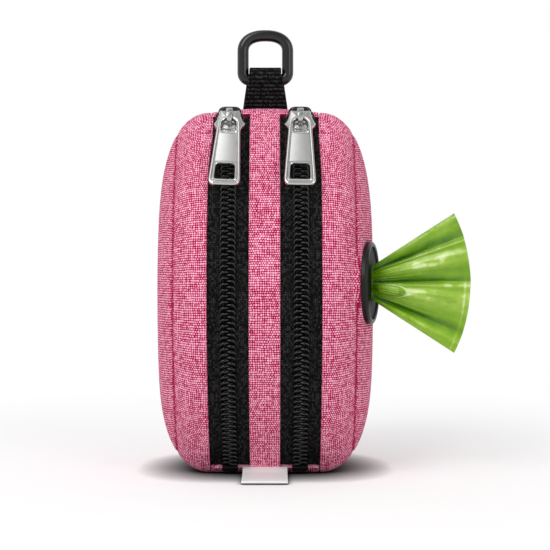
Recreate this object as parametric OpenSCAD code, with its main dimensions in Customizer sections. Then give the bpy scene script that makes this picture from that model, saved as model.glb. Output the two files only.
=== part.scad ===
// Waste bag dispenser pouch: two moulded half shells on a fabric centre section,
// each closed by its own zip that runs up the curved front.
// +X is to the right of the zip side, -Y is the zip side, +Z is up, and the pouch stands on z = 0.

/* [Pouch] */
// Width over both shells
body_w = 75.4; // [70:0.2:84]
// Height of the pouch without its hanging loop
body_h = 125.7; // [122:0.1:136]
// Depth from the front of the arc to the spine
body_d = 72; // [68:0.5:80]
// Width of the soft centre section between the two shell rims
centre_w = 37.5; // [36:0.1:40]
// Radius of the front arc that carries both zips
track_r = 90; // [86:0.5:100]
// Radius of the front corners at top and bottom
front_corner_r = 6; // [4:0.5:8]
// Radius of the rear corners at top and bottom
rear_corner_r = 24; // [16:1:30]
// Thickness of a moulded shell wall
shell_t = 2.6; // [1.8:0.1:3.2]
// Thickness of the fabric-covered rear gusset
gusset_t = 2.5; // [1.8:0.1:3]
// Gap between two pieces that move apart
part_gap = 0.35; // [0.25:0.05:0.5]
// Fullness of a shell seen from above
dome_round_y = 2.1; // [2:0.1:2.6]
// Squareness of a shell's upper half seen from the front
dome_round_top = 3.4; // [2.4:0.1:4]
// Squareness of a shell's lower half seen from the front
dome_round_bottom = 4.3; // [2.4:0.1:5]
// Fullness of a shell's upper half towards its side
dome_flat_top = 2.2; // [2:0.05:2.4]
// Fall of the pouch's top from its middle to the shell rims
top_fall = 1.4; // [0.4:0.05:1.6]
// Distance of the pressed line on a shell from its rim
groove_x = 11.65; // [8:0.05:14]
// Depth of the pressed line
groove_d = 0.55; // [0.2:0.05:0.8]

/* [Centre section] */
// Width of the front band between the zips
band_w = 10.3; // [8:0.1:12]
// Thickness of the band's face, down to the zip tapes
band_face_t = 1; // [0.8:0.1:1.4]
// Width of tape that is sewn in under each edge of the band
tape_tuck = 1.6; // [1:0.1:2.2]
// Depth of the band behind its face
band_core_t = 2.5; // [1.5:0.1:3]
// Thickness of the panel between the two compartments
divider_t = 1.6; // [1:0.1:2.4]

/* [Zips] */
// Thickness of a zip tape
tape_t = 0.7; // [0.5:0.05:0.9]
// Gap between the two tapes of a closed zip
tape_slit = 0.35; // [0.3:0.05:0.6]
// Width of a closed pair of coils
chain_w = 5.4; // [4.8:0.1:6]
// Height of the coils on the tape
coil_h = 2.2; // [1.8:0.1:2.5]
// Distance from one turn of a coil to its next
tooth_pitch = 1.94; // [1.8:0.02:2.2]
// Thickness of one turn
tooth_t = 0.7; // [0.5:0.05:0.75]
// Reach of each turn past the middle of the chain
tooth_cross = 0.6; // [0.3:0.05:0.8]
// Height of the strip that joins the turns of a coil
strip_h = 0.6; // [0.4:0.1:1]
// Distance of a resting slider's middle from the upper end of its zip
slider_stop = 7.3; // [7.2:0.1:30]

/* [Slider] */
// Length of a slider along the zip
slider_l = 13.5; // [12:0.1:14]
// Width of its nose
slider_nose_w = 7.4; // [7:0.1:8.4]
// Width over its wings
slider_wing_w = 10.3; // [9.8:0.1:11]
// Width of its rear end
slider_rear_w = 7.6; // [7.5:0.1:8.4]
// Gap between the slider's channel and the coils or the tapes
slider_gap = 0.3; // [0.2:0.05:0.4]
// Thickness of the top plate at its crown
plate_t = 1.3; // [1:0.1:1.8]
// Thickness of the bottom plate
base_plate_t = 1; // [0.8:0.1:1.4]
// Thickness of the side walls that guide the coils
guide_t = 0.7; // [0.5:0.05:0.9]
// Half width of the wedge that parts the coils
wedge_half_w = 1.45; // [1:0.05:1.6]
// Width of the bridge at the nose
bridge_w = 2.9; // [2.2:0.1:3.2]
// Width of the bridge at its rear leg
bridge_tail_w = 1.9; // [1.4:0.1:2.8]
// Thickness of the bridge over the pull's bar
bridge_t = 1.1; // [0.8:0.1:1.6]
// Distance of the pull's bar from the nose
bar_from_nose = 5.3; // [4.8:0.1:5.6]

/* [Pull tab] */
// Length of a pull from its bar to its lower end
pull_l = 28; // [22:0.2:32]
// Width of a pull round its eye
pull_top_w = 7.4; // [6.8:0.1:8.4]
// Width of a pull at its lower end
pull_end_w = 10; // [8:0.1:12]
// Thickness of a pull
pull_t = 1.5; // [1.2:0.05:1.7]
// Width of the eye
eye_w = 4.6; // [4.2:0.1:5]
// Length of the eye
eye_l = 5.4; // [4.8:0.1:6]
// Width of the window in the lower end
window_w = 6.4; // [4:0.1:7]
// Height of the window
window_h = 5.8; // [4:0.1:7]
// Metal left below the window
window_margin = 2.3; // [1.6:0.1:3]
// Slope of a resting pull towards the zip, in degrees
pull_slope = 5; // [3:0.1:5.2]
// Sideways lean of the left pull, in degrees
left_pull_lean = 4; // [0:0.5:5]

/* [Hanging loop and ring] */
// Outer width of the ring
ring_w = 19.7; // [18:0.1:22]
// Outer height of the ring
ring_h = 19.7; // [18:0.1:22]
// Thickness of the ring's bar
ring_bar = 4; // [3.4:0.1:4.2]
// Radius of the ring's upper corners, to the bar's middle
ring_top_r = 4.4; // [3:0.1:5]
// Radius of the ring's lower corners, to the bar's middle
ring_low_r = 2.4; // [2.1:0.1:3]
// Height of the ring's lower bar above the pouch, to its middle
ring_lift = 11.1; // [10:0.1:14]
// Thickness of one layer of webbing
web_t = 1.7; // [1.2:0.1:2]
// Width of the webbing where it is sewn in
web_base_w = 15.9; // [14:0.1:18]
// Width of the webbing at the ring
web_top_w = 10.9; // [8:0.1:11]
// Room between the ring's bar and the webbing round it
web_slack = 0.8; // [0.3:0.1:1]

/* [Label tab] */
// Width of the folded ribbon at the lower seam
tab_w = 15.2; // [12:0.1:18]
// Reach of the ribbon in front of the lower seam
tab_l = 21; // [12:0.5:24]
// Thickness of the folded ribbon
tab_t = 0.9; // [0.6:0.1:1.2]

/* [Outlet grommet] */
// Distance of the grommet in front of the middle of the shell
grommet_y = 15; // [12:0.5:17]
// Height of the grommet's middle
grommet_z = 65.5; // [58:0.5:72]
// Turn of the grommet beyond the slope of the shell below it, in degrees
grommet_lean = 0.54; // [-1:0.02:2]
// Depth of its flat seat below the curve of the shell
seat_sink = 1.33; // [1:0.01:1.6]
// Width of the flat margin round the grommet
seat_margin = 0.45; // [0.35:0.05:0.8]
// Outer radius of the grommet's flange
flange_r = 14.05; // [13.8:0.05:14.6]
// Height of the flange above its seat
flange_h = 2.3; // [2:0.1:3]
// Radius of the rubber disc
disc_r = 12.3; // [12:0.05:12.5]
// Thickness of the rubber disc
disc_t = 1.1; // [0.8:0.1:1.3]
// Outer radius of the grommet's barrel
barrel_r = 11.4; // [11:0.05:11.6]
// Wall of the barrel
barrel_t = 0.9; // [0.7:0.05:1.1]
// Length of the barrel behind the seat
barrel_l = 5.6; // [5.4:0.1:6.4]
// Outer radius of the ring that clamps the barrel from inside
clamp_r = 13.4; // [13:0.1:13.7]
// Thickness of the clamping ring
clamp_t = 2; // [1.4:0.1:2.2]
// Running clearance of round fits
round_fit = 0.08; // [0.05:0.01:0.1]

/* [Bags] */
// Radius of the full roll of bags
roll_r = 13; // [11:0.1:13.2]
// Length of the roll
roll_l = 58; // [50:0.5:60]
// Outer radius of the roll's card core
core_r = 5.4; // [4:0.1:7]
// Wall of the card core
core_t = 0.9; // [0.6:0.1:1.4]
// Gap between the roll and the middle panel
roll_gap = 1.7; // [1:0.1:2]
// Width of the gathered film in the outlet slot
neck_w = 15; // [10:0.2:15.4]
// Thickness of the gathered film
film_t = 0.5; // [0.4:0.05:0.6]
// Reach of the film fan along its middle
fan_l = 36; // [20:0.5:44]
// Extra reach of the fan at its corners
fan_corner = 3.2; // [0:0.2:5]
// Half angle of the fan, in degrees
fan_a = 40; // [25:1:46]
// Number of pleats in the fan
fan_pleats = 13; // [7:2:17]
// Depth of the pleats at the fan's edge
pleat_d = 1.6; // [0.6:0.1:2.4]

/* [Hidden] */

$fn = 64;
eps = 0.01;

rim_x = centre_w / 2;
dome_d = body_w / 2 - rim_x;
mid_z = body_h / 2;
track_y = track_r - body_d / 2;
corner_a = asin((mid_z - front_corner_r) / (track_r - front_corner_r));
seam_a = corner_a - 0.3;
gap_a = part_gap / track_r * 180 / PI;
zip_a = seam_a - gap_a;
slider_a = zip_a - slider_stop / track_r * 180 / PI;

tape_r = track_r - band_face_t;
coil_r = tape_r + coil_h;
zip_x = (band_w / 2 + rim_x) / 2;
pitch_a = tooth_pitch / coil_r * 180 / PI;
tooth_n = floor(2 * zip_a / pitch_a) - 1;

channel_r = coil_r + slider_gap;
base_plate_r = tape_r - tape_t - slider_gap;
crown_r = channel_r + plate_t;
nose_z = slider_l / 2;
slider_k = slider_l / 13.5;
bar_r = pull_t / 2;
bar_z = nose_z - bar_from_nose;
bar_y = crown_r + slider_gap + bar_r;

top_z = body_h;
ring_z = top_z + ring_lift;
web_root_r = web_t + 0.2;
web_root_z = top_z + part_gap + web_root_r;
web_eye_r = ring_bar / 2 + web_slack;
web_out_r = web_eye_r + web_t;

// Points of a circular arc in a plane, from one angle to another, without the last point.
function arc(cy, cz, r, from, to, steps) =
    [for (i = [0:steps - 1]) let (a = from + (to - from) * i / steps) [cy + r * cos(a), cz + r * sin(a)]];

// Points of a straight run, without the last point.
function run(p, q, steps) = [for (i = [0:steps - 1]) p + (q - p) * i / steps];

// Side outline of the pouch, front arc first, moved in by a wall.
// The angles are those of the outline in the plane of Y and Z, so the front lies at 180 degrees.
function side_outline(inset = 0, fine = 1) =
    let (rf = front_corner_r - inset,
        rr = rear_corner_r - inset,
        fy = track_y - (track_r - front_corner_r) * cos(corner_a),
        ry = body_d / 2 - rear_corner_r,
        hf = mid_z - front_corner_r,
        hr = mid_z - rear_corner_r,
        half_h = mid_z - inset,
        back_y = body_d / 2 - inset)
    concat(
        arc(track_y, mid_z, track_r - inset, 180 + corner_a, 180 - corner_a, 14 * fine),
        arc(fy, mid_z + hf, rf, 180 - corner_a, 90, 3 * fine),
        run([fy, mid_z + half_h], [ry, mid_z + half_h], 3),
        arc(ry, mid_z + hr, rr, 90, 0, 6 * fine),
        run([back_y, mid_z + hr], [back_y, mid_z - hr], 8),
        arc(ry, mid_z - hr, rr, 0, -90, 6 * fine),
        run([ry, mid_z - half_h], [fy, mid_z - half_h], 3),
        arc(fy, mid_z - hf, rf, 270, 180 + corner_a, 3 * fine));

// One point of a shell: a point of its rim outline drawn in towards the crown of the dome.
// The turn runs from 0 degrees at the rim to 90 degrees at the crown.
function dome_point(p, turn, depth, press = 0) =
    let (c = max(cos(turn), 0),
        s = min(sin(turn), 1),
        lift = p[1] - mid_z,
        upper = pow(1 - pow(s, dome_flat_top), 1 / dome_round_top) * (1 - top_fall / mid_z),
        lower = pow(c, 2 / dome_round_bottom),
        shrink = 1 - press / (body_d / 2))
    [rim_x + depth * s,
        p[0] * pow(c, 2 / dome_round_y) * shrink,
        mid_z + lift * (lift > 0 ? upper : lower) * (1 - press / mid_z)];

groove_turn = asin(groove_x / dome_d);
outer_turns = [0, 7, 14, 21, 28, groove_turn - 2.6, groove_turn, groove_turn + 2.6,
    48, 56, 64, 72, 79, 84, 88];
inner_turns = [0, 14, 28, 42, 56, 68, 78, 86];

// Height of a shell's inner floor at the middle of its depth, at a distance from the centre plane.
function inner_floor(x) =
    let (w = (x - rim_x) / (dome_d - shell_t))
    mid_z - (mid_z - shell_t) * pow(1 - w * w, 1 / dome_round_bottom);

// How far a coil is drawn aside beside the slider, by its place along the slider.
function coil_shift(z) =
    let (tip = tooth_cross + slider_gap)
    lookup(z, [[closed_z, 0], [wedge_tip_z - 0.5 * slider_k, tip], [wedge_full_z, tip + wedge_half_w],
        [nose_z * 4, tip + wedge_half_w]]);
closed_z = -3.5 * slider_k;
wedge_tip_z = 0.9 * slider_k;
wedge_full_z = 4.6 * slider_k;

// Place of the grommet on the shell, which sets its turn from the shell's own slope.
grommet_u = grommet_y / (body_d / 2);
grommet_w = sqrt(1 - pow(grommet_u, dome_round_y));
grommet_x = rim_x + dome_d * grommet_w - seat_sink;
shell_slope = atan(dome_d / body_d * dome_round_y * pow(grommet_u, dome_round_y - 1) / grommet_w);
grommet_turn = shell_slope + grommet_lean;

roll_x = divider_t / 2 + roll_gap + roll_r;
roll_z = inner_floor(roll_x + roll_r) + part_gap;
slot_fit = 0.35;

// Length of the film from the flange's seat back to where it leaves the roll.
film_side = [roll_x - grommet_x, grommet_y];
film_back = -(film_side[0] * cos(grommet_turn) - film_side[1] * sin(grommet_turn));
film_off = abs(film_side[0] * sin(grommet_turn) + film_side[1] * cos(grommet_turn));
roll_clear = roll_r + part_gap + film_t / 2;
strand_l = film_back - (film_off < roll_clear ? sqrt(roll_clear * roll_clear - film_off * film_off) : 0);

// Sweeps a profile round the arc of the zips: its X is the distance from the arc's
// centre and its Y is the place across the pouch.
module along_track(low, high) {
    translate([0, track_y, mid_z])
        rotate([-90, 0, 0])
            rotate([0, 90, 0])
                rotate([0, 0, -high])
                    rotate_extrude(angle = high - low, $fn = 360)
                        children();
}

// Puts a piece drawn at the front of the arc at its place on the arc.
module at_track(a) {
    translate([0, track_y, mid_z])
        rotate([-a, 0, 0])
            children();
}

// Extrudes an outline in the plane of Y and Z across the pouch.
module across(x0, x1) {
    translate([x0, 0, 0])
        rotate([90, 0, 90])
            linear_extrude(x1 - x0)
                children();
}

// A strip of the arc between two radii and two places across the pouch.
module track_strip(r0, r1, x0, x1, low, high) {
    along_track(low, high)
        translate([r0, x0])
            square([r1 - r0, x1 - x0]);
}

// Front face between the zips, with a deeper core between the tapes.
module centre_band() {
    core_w = band_w - 2 * tape_tuck;
    color("palevioletred")
        union() {
            track_strip(tape_r, track_r, -band_w / 2, band_w / 2, -seam_a, seam_a);
            track_strip(tape_r - band_core_t, tape_r, -core_w / 2, core_w / 2, -seam_a, seam_a);
        }
}

// Everything in front of the middle between the two seams, seen from the side.
module front_wedge() {
    far = track_y - track_r * 1.6 * cos(seam_a);
    polygon([for (y = [0, far]) [y, mid_z + (track_y - y) * tan(seam_a)],
        for (y = [far, 0]) [y, mid_z - (track_y - y) * tan(seam_a)]]);
}

// Space below the pouch's top, which falls from its middle towards the shell rims.
module crowned_block() {
    steps = 10;
    outline = side_outline(0, 2);
    n = len(outline);
    points = [for (k = [0:steps], p = outline)
        let (u = 2 * k / steps - 1, lift = p[1] - mid_z)
        [rim_x * u, p[0], mid_z + lift * (lift > 0 ? 1 - top_fall / mid_z * u * u : 1)]];
    faces = concat(
        [for (k = [0:steps - 1], i = [0:n - 1])
            let (a = k * n + i, b = k * n + (i + 1) % n)
            each [[a, b, b + n], [a, b + n, a + n]]],
        [[for (i = [n - 1:-1:0]) i]],
        [[for (i = [0:n - 1]) steps * n + i]]);
    polyhedron(points, faces, convexity = 4);
}

// Top, spine and bottom in one strip, from the upper seam to the lower one, its top slightly crowned.
module rear_gusset() {
    half_w = rim_x - part_gap;
    color("hotpink")
        intersection() {
            across(-half_w, half_w)
                difference() {
                    polygon(side_outline(-1, 2));
                    polygon(side_outline(gusset_t, 2));
                    front_wedge();
                }
            crowned_block();
        }
}

// Panel between the two compartments, sewn to the band and to the gusset.
module divider_panel() {
    color("dimgray")
        across(-divider_t / 2, divider_t / 2)
            intersection() {
                polygon(side_outline(gusset_t, 2));
                translate([track_y, mid_z])
                    circle(tape_r - band_core_t, $fn = 360);
            }
}

// Moulded half shell on the +X side: a dome outside, the same dome a wall smaller inside,
// and a flat rim between them.
module shell_body() {
    outer = side_outline(0);
    inner = side_outline(shell_t);
    n = len(outer);
    rings = [
        for (t = outer_turns)
            [for (p = outer) dome_point(p, t, dome_d, t == groove_turn ? groove_d : 0)],
        for (k = [len(inner_turns) - 1:-1:0])
            [for (p = inner) dome_point(p, inner_turns[k], dome_d - shell_t)]];
    split = len(outer_turns);
    crown = [[rim_x + dome_d, 0, mid_z], [rim_x + dome_d - shell_t, 0, mid_z]];
    points = concat([for (ring = rings) each ring], crown);
    last = len(rings) - 1;
    function wall_faces(a, b) =
        [for (i = [0:n - 1])
            let (j = (i + 1) % n)
            each [[a * n + i, a * n + j, b * n + j], [a * n + i, b * n + j, b * n + i]]];
    faces = concat(
        [for (k = [0:split - 2]) each wall_faces(k, k + 1)],
        [for (k = [split:last - 1]) each wall_faces(k, k + 1)],
        wall_faces(last, 0),
        [for (i = [0:n - 1]) [(split - 1) * n + i, (split - 1) * n + (i + 1) % n, n * (last + 1)]],
        [for (i = [0:n - 1]) [split * n + (i + 1) % n, split * n + i, n * (last + 1) + 1]]);
    polyhedron(points, faces, convexity = 6);
}

// Puts a piece drawn round +Z at the grommet: z = 0 is the flange's seat.
module at_grommet() {
    translate([grommet_x, -grommet_y, grommet_z])
        rotate([0, 0, -grommet_turn])
            rotate([0, 90, 0])
                children();
}

module left_shell() {
    color("hotpink")
        mirror([1, 0, 0])
            shell_body();
}

// The right shell has a flat, round seat and a hole for the grommet.
module right_shell() {
    seat_r = flange_r + seat_margin;
    color("hotpink")
        difference() {
            union() {
                shell_body();
                at_grommet()
                    translate([0, 0, -shell_t])
                        cylinder(r = seat_r, h = shell_t, $fn = 96);
            }
            at_grommet()
                cylinder(r = seat_r, h = 10, $fn = 96);
            at_grommet()
                translate([0, 0, -shell_t - 10])
                    cylinder(r = seat_r, h = 10, $fn = 96);
            at_grommet()
                translate([0, 0, -shell_t - eps])
                    cylinder(r = barrel_r + round_fit, h = shell_t + 2 * eps, $fn = 96);
        }
}

// Opening that the slider's wedge needs between the tapes, and the parted ends above it.
module tape_parting() {
    at_track(slider_a)
        translate([zip_x, 0, 0])
            rotate([90, 0, 0])
                linear_extrude(track_r * 1.1)
                    polygon([[-wedge_half_w - slider_gap, nose_z * 4], [-wedge_half_w - slider_gap, wedge_full_z],
                        [-slider_gap, wedge_tip_z - slider_gap], [slider_gap, wedge_tip_z - slider_gap],
                        [wedge_half_w + slider_gap, wedge_full_z], [wedge_half_w + slider_gap, nose_z * 4]]);
}

// Tapes of the right zip; the left ones are their mirror images.
module inner_tape() {
    difference() {
        track_strip(tape_r - tape_t, tape_r, band_w / 2 - tape_tuck, zip_x - tape_slit / 2, -zip_a, zip_a);
        tape_parting();
    }
}

module outer_tape() {
    difference() {
        track_strip(tape_r - tape_t, tape_r, zip_x + tape_slit / 2, rim_x, -zip_a, zip_a);
        tape_parting();
    }
}

// One turn of a coil in section along the zip: an oval loop, its head at the middle of the chain.
module tooth_section() {
    end_r = coil_h / 2;
    heel = chain_w / 2;
    points = concat(
        [for (a = [-90:30:90]) [heel - end_r + end_r * cos(a), end_r + end_r * sin(a)]],
        [for (a = [90:30:270]) [end_r * 0.8 - tooth_cross + end_r * 0.8 * cos(a), end_r + end_r * sin(a)]]);
    polygon(points);
}

// A coil on its tape: separate turns on one sewn strip, parted round the slider's wedge.
// The side is +1 for the outer coil and -1 for the inner one, and the phase sets it
// half a pitch past its neighbour.
module coil(side, phase) {
    strip_in = coil_h / 2;
    strip_out = chain_w / 2 - 0.12;
    tooth_lift = 0.08;
    for (i = [0:tooth_n - 1]) {
        a = (i - (tooth_n - 1) / 2 + phase) * pitch_a;
        shift = coil_shift((a - slider_a) * PI / 180 * coil_r);
        at_track(a)
            translate([zip_x + side * shift, 0, -tooth_t / 2])
                linear_extrude(tooth_t)
                    translate([0, -tape_r - tooth_lift])
                        scale([side, -1])
                            tooth_section();
    }
    slim = 0.03;
    a_low = slider_a + closed_z / tape_r * 180 / PI;
    track_strip(tape_r, tape_r + strip_h, zip_x + (side > 0 ? strip_in : -strip_out),
        zip_x + (side > 0 ? strip_out : -strip_in), -zip_a, a_low);
    high_z = (zip_a - slider_a) * PI / 180 * tape_r;
    parted = [closed_z - 0.37, wedge_tip_z - 0.5 * slider_k, wedge_full_z, high_z];
    on_zip(1)
        intersection() {
            outwards(tape_r - 3, tape_r + 3)
                polygon(concat(
                    [for (z = parted) [side * (strip_in + slim + coil_shift(z)), z]],
                    [for (k = [len(parted) - 1:-1:0])
                        [side * (strip_out - slim + coil_shift(parted[k])), parted[k]]]));
            track_shell(tape_r + eps, tape_r + strip_h - slim);
        }
}

// Plan of a slider: straight nose, wings at its middle, narrower rear.
module slider_plan(inset = 0) {
    nose = slider_nose_w / 2 - inset;
    wing = slider_wing_w / 2 - inset;
    rear = slider_rear_w / 2 - inset;
    k = slider_k;
    right = [[nose, nose_z], [nose + 0.05 * k, 5.2 * k], [nose + 0.7 * k, 3.6 * k], [wing, 1.3 * k],
        [wing, 0.6 * k], [rear + 0.5 * k, -1.6 * k], [rear, -4 * k], [rear, -nose_z]];
    polygon(concat(right, [for (i = [len(right) - 1:-1:0]) [-right[i][0], right[i][1]]]));
}

// Extrudes a plan in X and Z outwards from the arc's centre, between two distances.
module outwards(y0, y1) {
    translate([0, -y0, 0])
        rotate([90, 0, 0])
            linear_extrude(y1 - y0)
                children();
}

// Ring-shaped slice about the arc's centre, in the slider's own place.
module track_shell(r0, r1) {
    half_a = 8;
    half_w = 8 * slider_k;
    rotate([-90, 0, 0])
        rotate([0, 90, 0])
            rotate([0, 0, -half_a])
                rotate_extrude(angle = 2 * half_a, $fn = 360)
                    translate([r0, -half_w])
                        square([r1 - r0, 2 * half_w]);
}

// Crowned space below the slider's top face, lower towards its wings and its two ends.
module crown_space() {
    across_r = 16 * slider_k;
    along_r = 42 * slider_k;
    intersection() {
        translate([0, -crown_r + across_r, -slider_l])
            cylinder(r = across_r, h = 2 * slider_l, $fn = 128);
        translate([-slider_l, -crown_r + along_r, slider_k])
            rotate([0, 90, 0])
                cylinder(r = along_r, h = 2 * slider_l, $fn = 256);
    }
}

// Wedge between the two plates, its point towards the closed chain.
module slider_wedge() {
    polygon([[-wedge_half_w, nose_z - 0.4], [-wedge_half_w, wedge_full_z], [-0.25, wedge_tip_z],
        [0.25, wedge_tip_z], [wedge_half_w, wedge_full_z], [wedge_half_w, nose_z - 0.4]]);
}

// Slider at the front of the arc, on the middle of its zip.
module slider_body() {
    intersection() {
        outwards(channel_r - 3, crown_r + 1)
            slider_plan();
        crown_space();
        track_shell(channel_r, crown_r + 2);
    }
    intersection() {
        outwards(base_plate_r - base_plate_t - 1, base_plate_r + 1)
            slider_plan(0.3);
        track_shell(base_plate_r - base_plate_t, base_plate_r);
    }
    intersection() {
        outwards(base_plate_r - 1, crown_r)
            slider_wedge();
        track_shell(base_plate_r - base_plate_t / 2, channel_r + plate_t / 3);
    }
    guide_r = tape_r + slider_gap;
    intersection() {
        outwards(guide_r - 1, channel_r + 1)
            difference() {
                slider_plan();
                slider_plan(guide_t);
                translate([-slider_wing_w, 0.5 * slider_k])
                    square([2 * slider_wing_w, slider_l]);
                translate([-(slider_rear_w / 2 - guide_t), -nose_z - 1])
                    square([slider_rear_w - 2 * guide_t, 3]);
            }
        track_shell(guide_r, channel_r + eps * 10);
    }
}

// Bridge that holds the pull: an arch from the nose to a leg behind the pull's bar.
module bridge_body() {
    front_z = nose_z - 0.15;
    slot_r = bar_r + slider_gap;
    slot_front = bar_z + 0.5;
    slot_rear = bar_z - 0.9;
    rear_z = slot_rear - slot_r - 1.2;
    top_y = bar_y + slot_r + bridge_t;
    lip = 1.4;
    difference() {
        intersection() {
            translate([-bridge_w / 2, 0, 0])
                rotate([90, 0, 90])
                    linear_extrude(bridge_w)
                        union() {
                            polygon([[-channel_r, front_z], [-top_y + lip, front_z],
                                [-top_y, front_z - lip], [-top_y, rear_z + 2.2],
                                [-crown_r - 0.7, rear_z], [-channel_r, rear_z]]);
                            translate([-top_y + lip, front_z - lip])
                                circle(lip, $fn = 48);
                        }
            outwards(channel_r - 1, top_y + 1)
                polygon([[-bridge_w / 2, front_z], [bridge_w / 2, front_z],
                    [bridge_w / 2, bar_z - 0.4], [bridge_tail_w / 2, rear_z],
                    [-bridge_tail_w / 2, rear_z], [-bridge_w / 2, bar_z - 0.4]]);
        }
        crown_space();
        translate([-bridge_w, -bar_y, 0])
            rotate([90, 0, 90])
                linear_extrude(2 * bridge_w)
                    union() {
                        translate([0, slot_front])
                            circle(slot_r, $fn = 48);
                        translate([0, slot_rear])
                            circle(slot_r, $fn = 48);
                        translate([-slot_r, slot_rear])
                            square([2 * slot_r, slot_front - slot_rear]);
                    }
    }
}

// Rectangle with rounded corners, its lower left corner at the given point.
module round_rect(x0, z0, w, h, r) {
    translate([x0 + r, z0])
        square([w - 2 * r, h]);
    translate([x0, z0 + r])
        square([w, h - 2 * r]);
    for (x = [x0 + r, x0 + w - r], z = [z0 + r, z0 + h - r])
        translate([x, z])
            circle(r, $fn = 48);
}

// Plan of a pull in X and Z, with its bar at the origin: an arch round the eye,
// then a plate that widens to rounded lower corners.
module pull_plan() {
    bar_half = bridge_w / 2 + slider_gap;
    arch_r = pull_top_w / 2;
    arch_z = bar_r - arch_r;
    end_r = 1.8;
    end_z = -pull_l;
    difference() {
        union() {
            translate([0, arch_z])
                circle(arch_r, $fn = 72);
            polygon([[-arch_r, arch_z], [-pull_end_w / 2, end_z + end_r],
                [pull_end_w / 2, end_z + end_r], [arch_r, arch_z]]);
            translate([-pull_end_w / 2 + end_r, end_z])
                square([pull_end_w - 2 * end_r, end_r + eps]);
            for (s = [-1, 1])
                translate([s * (pull_end_w / 2 - end_r), end_z + end_r])
                    circle(end_r, $fn = 48);
        }
        translate([0, -bar_r - eye_w / 2])
            circle(eye_w / 2, $fn = 48);
        translate([-bar_half, -bar_r - eye_w / 2])
            square([2 * bar_half, eye_w / 2]);
        translate([-eye_w / 2, -bar_r - eye_l])
            square([eye_w, eye_l - eye_w / 2]);
        round_rect(-window_w / 2, end_z + window_margin, window_w, window_h, 1.2);
    }
}

// Pull with a raised rim round a shallow panel on its outer face, its bar along X at the origin.
module pull_body() {
    panel_d = 0.3;
    panel_top = -bar_r - eye_l - 1;
    panel_low = -pull_l + window_margin + window_h + 1;
    slope_w = (pull_end_w - pull_top_w) / (2 * pull_l);
    top_w = pull_top_w / 2 - 1.3 - slope_w * panel_top;
    low_w = pull_top_w / 2 - 1.3 - slope_w * panel_low;
    difference() {
        outwards(-pull_t / 2, pull_t / 2)
            pull_plan();
        outwards(pull_t / 2 - panel_d, pull_t)
            polygon([[-top_w, panel_top], [top_w, panel_top], [low_w, panel_low], [-low_w, panel_low]]);
        bar_corners(pull_top_w, 0, 2 * bar_r);
        bar_corners(bridge_w / 2 + slider_gap, -2 * bar_r, 2 * bar_r);
    }
}

// Everything outside the pull's round bar between two heights, to a distance from its middle.
module bar_corners(half_w, z0, z1) {
    translate([-half_w, 0, 0])
        rotate([90, 0, 90])
            linear_extrude(2 * half_w)
                difference() {
                    translate([-pull_t, z0])
                        square([2 * pull_t, z1 - z0]);
                    circle(bar_r, $fn = 48);
                }
}

// Places a slider's pieces on the +X or the -X zip.
module on_zip(side) {
    at_track(slider_a)
        translate([side * zip_x, 0, 0])
            children();
}

module pull_at(side, lean) {
    on_zip(side)
        translate([0, -bar_y, bar_z])
            rotate([pull_slope, 0, 0])
                rotate([0, lean, 0])
                    pull_body();
}

// Outline of the folded webbing seen from the side, as a band round the ring's bar.
module web_outline(root_r, eye_r) {
    rise = ring_z - web_root_z;
    a = asin((eye_r - root_r) / rise);
    translate([0, ring_z])
        circle(eye_r, $fn = 72);
    translate([0, web_root_z])
        circle(root_r, $fn = 72);
    polygon([[-root_r * cos(a), web_root_z - root_r * sin(a)], [root_r * cos(a), web_root_z - root_r * sin(a)],
        [eye_r * cos(a), ring_z - eye_r * sin(a)], [-eye_r * cos(a), ring_z - eye_r * sin(a)]]);
}

module webbing_loop() {
    seam_z = web_root_z + 2.4;
    color("black")
        intersection() {
            across(-web_base_w / 2, web_base_w / 2)
                difference() {
                    web_outline(web_root_r, web_out_r);
                    translate([0, ring_z])
                        circle(web_eye_r, $fn = 72);
                    polygon([[-web_eye_r * cos(20), ring_z - web_eye_r * sin(20)], [0, seam_z],
                        [web_eye_r * cos(20), ring_z - web_eye_r * sin(20)]]);
                }
            translate([0, web_out_r + 1, 0])
                rotate([90, 0, 0])
                    linear_extrude(2 * web_out_r + 2)
                        polygon([[-web_base_w / 2, top_z], [web_base_w / 2, top_z],
                            [web_top_w / 2, ring_z - 2], [web_top_w / 2, ring_z + web_out_r + 1],
                            [-web_top_w / 2, ring_z + web_out_r + 1], [-web_top_w / 2, ring_z - 2]]);
        }
}

// Round bar between two points in the plane of the ring.
module ring_leg(p, q) {
    d = q - p;
    translate([p[0], 0, p[1]])
        rotate([0, atan2(d[0], d[1]), 0])
            cylinder(r = ring_bar / 2, h = norm(d), $fn = 48);
}

// Quarter bend of the ring's bar, its outer side towards the given angle.
module ring_bend(x, z, r, a) {
    translate([x, 0, z])
        rotate([90, 0, 0])
            rotate([0, 0, a])
                rotate_extrude(angle = 90, $fn = 96)
                    translate([r, 0])
                        circle(ring_bar / 2, $fn = 48);
}

module ring() {
    half = (ring_w - ring_bar) / 2;
    low = ring_z;
    high = ring_z + ring_h - ring_bar;
    color("black")
        union() {
            ring_leg([-half + ring_low_r, low], [half - ring_low_r, low]);
            ring_leg([-half + ring_top_r, high], [half - ring_top_r, high]);
            for (s = [-1, 1])
                ring_leg([s * half, low + ring_low_r], [s * half, high - ring_top_r]);
            ring_bend(half - ring_low_r, low + ring_low_r, ring_low_r, -90);
            ring_bend(-half + ring_low_r, low + ring_low_r, ring_low_r, 180);
            ring_bend(half - ring_top_r, high - ring_top_r, ring_top_r, 0);
            ring_bend(-half + ring_top_r, high - ring_top_r, ring_top_r, 90);
        }
}

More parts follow.
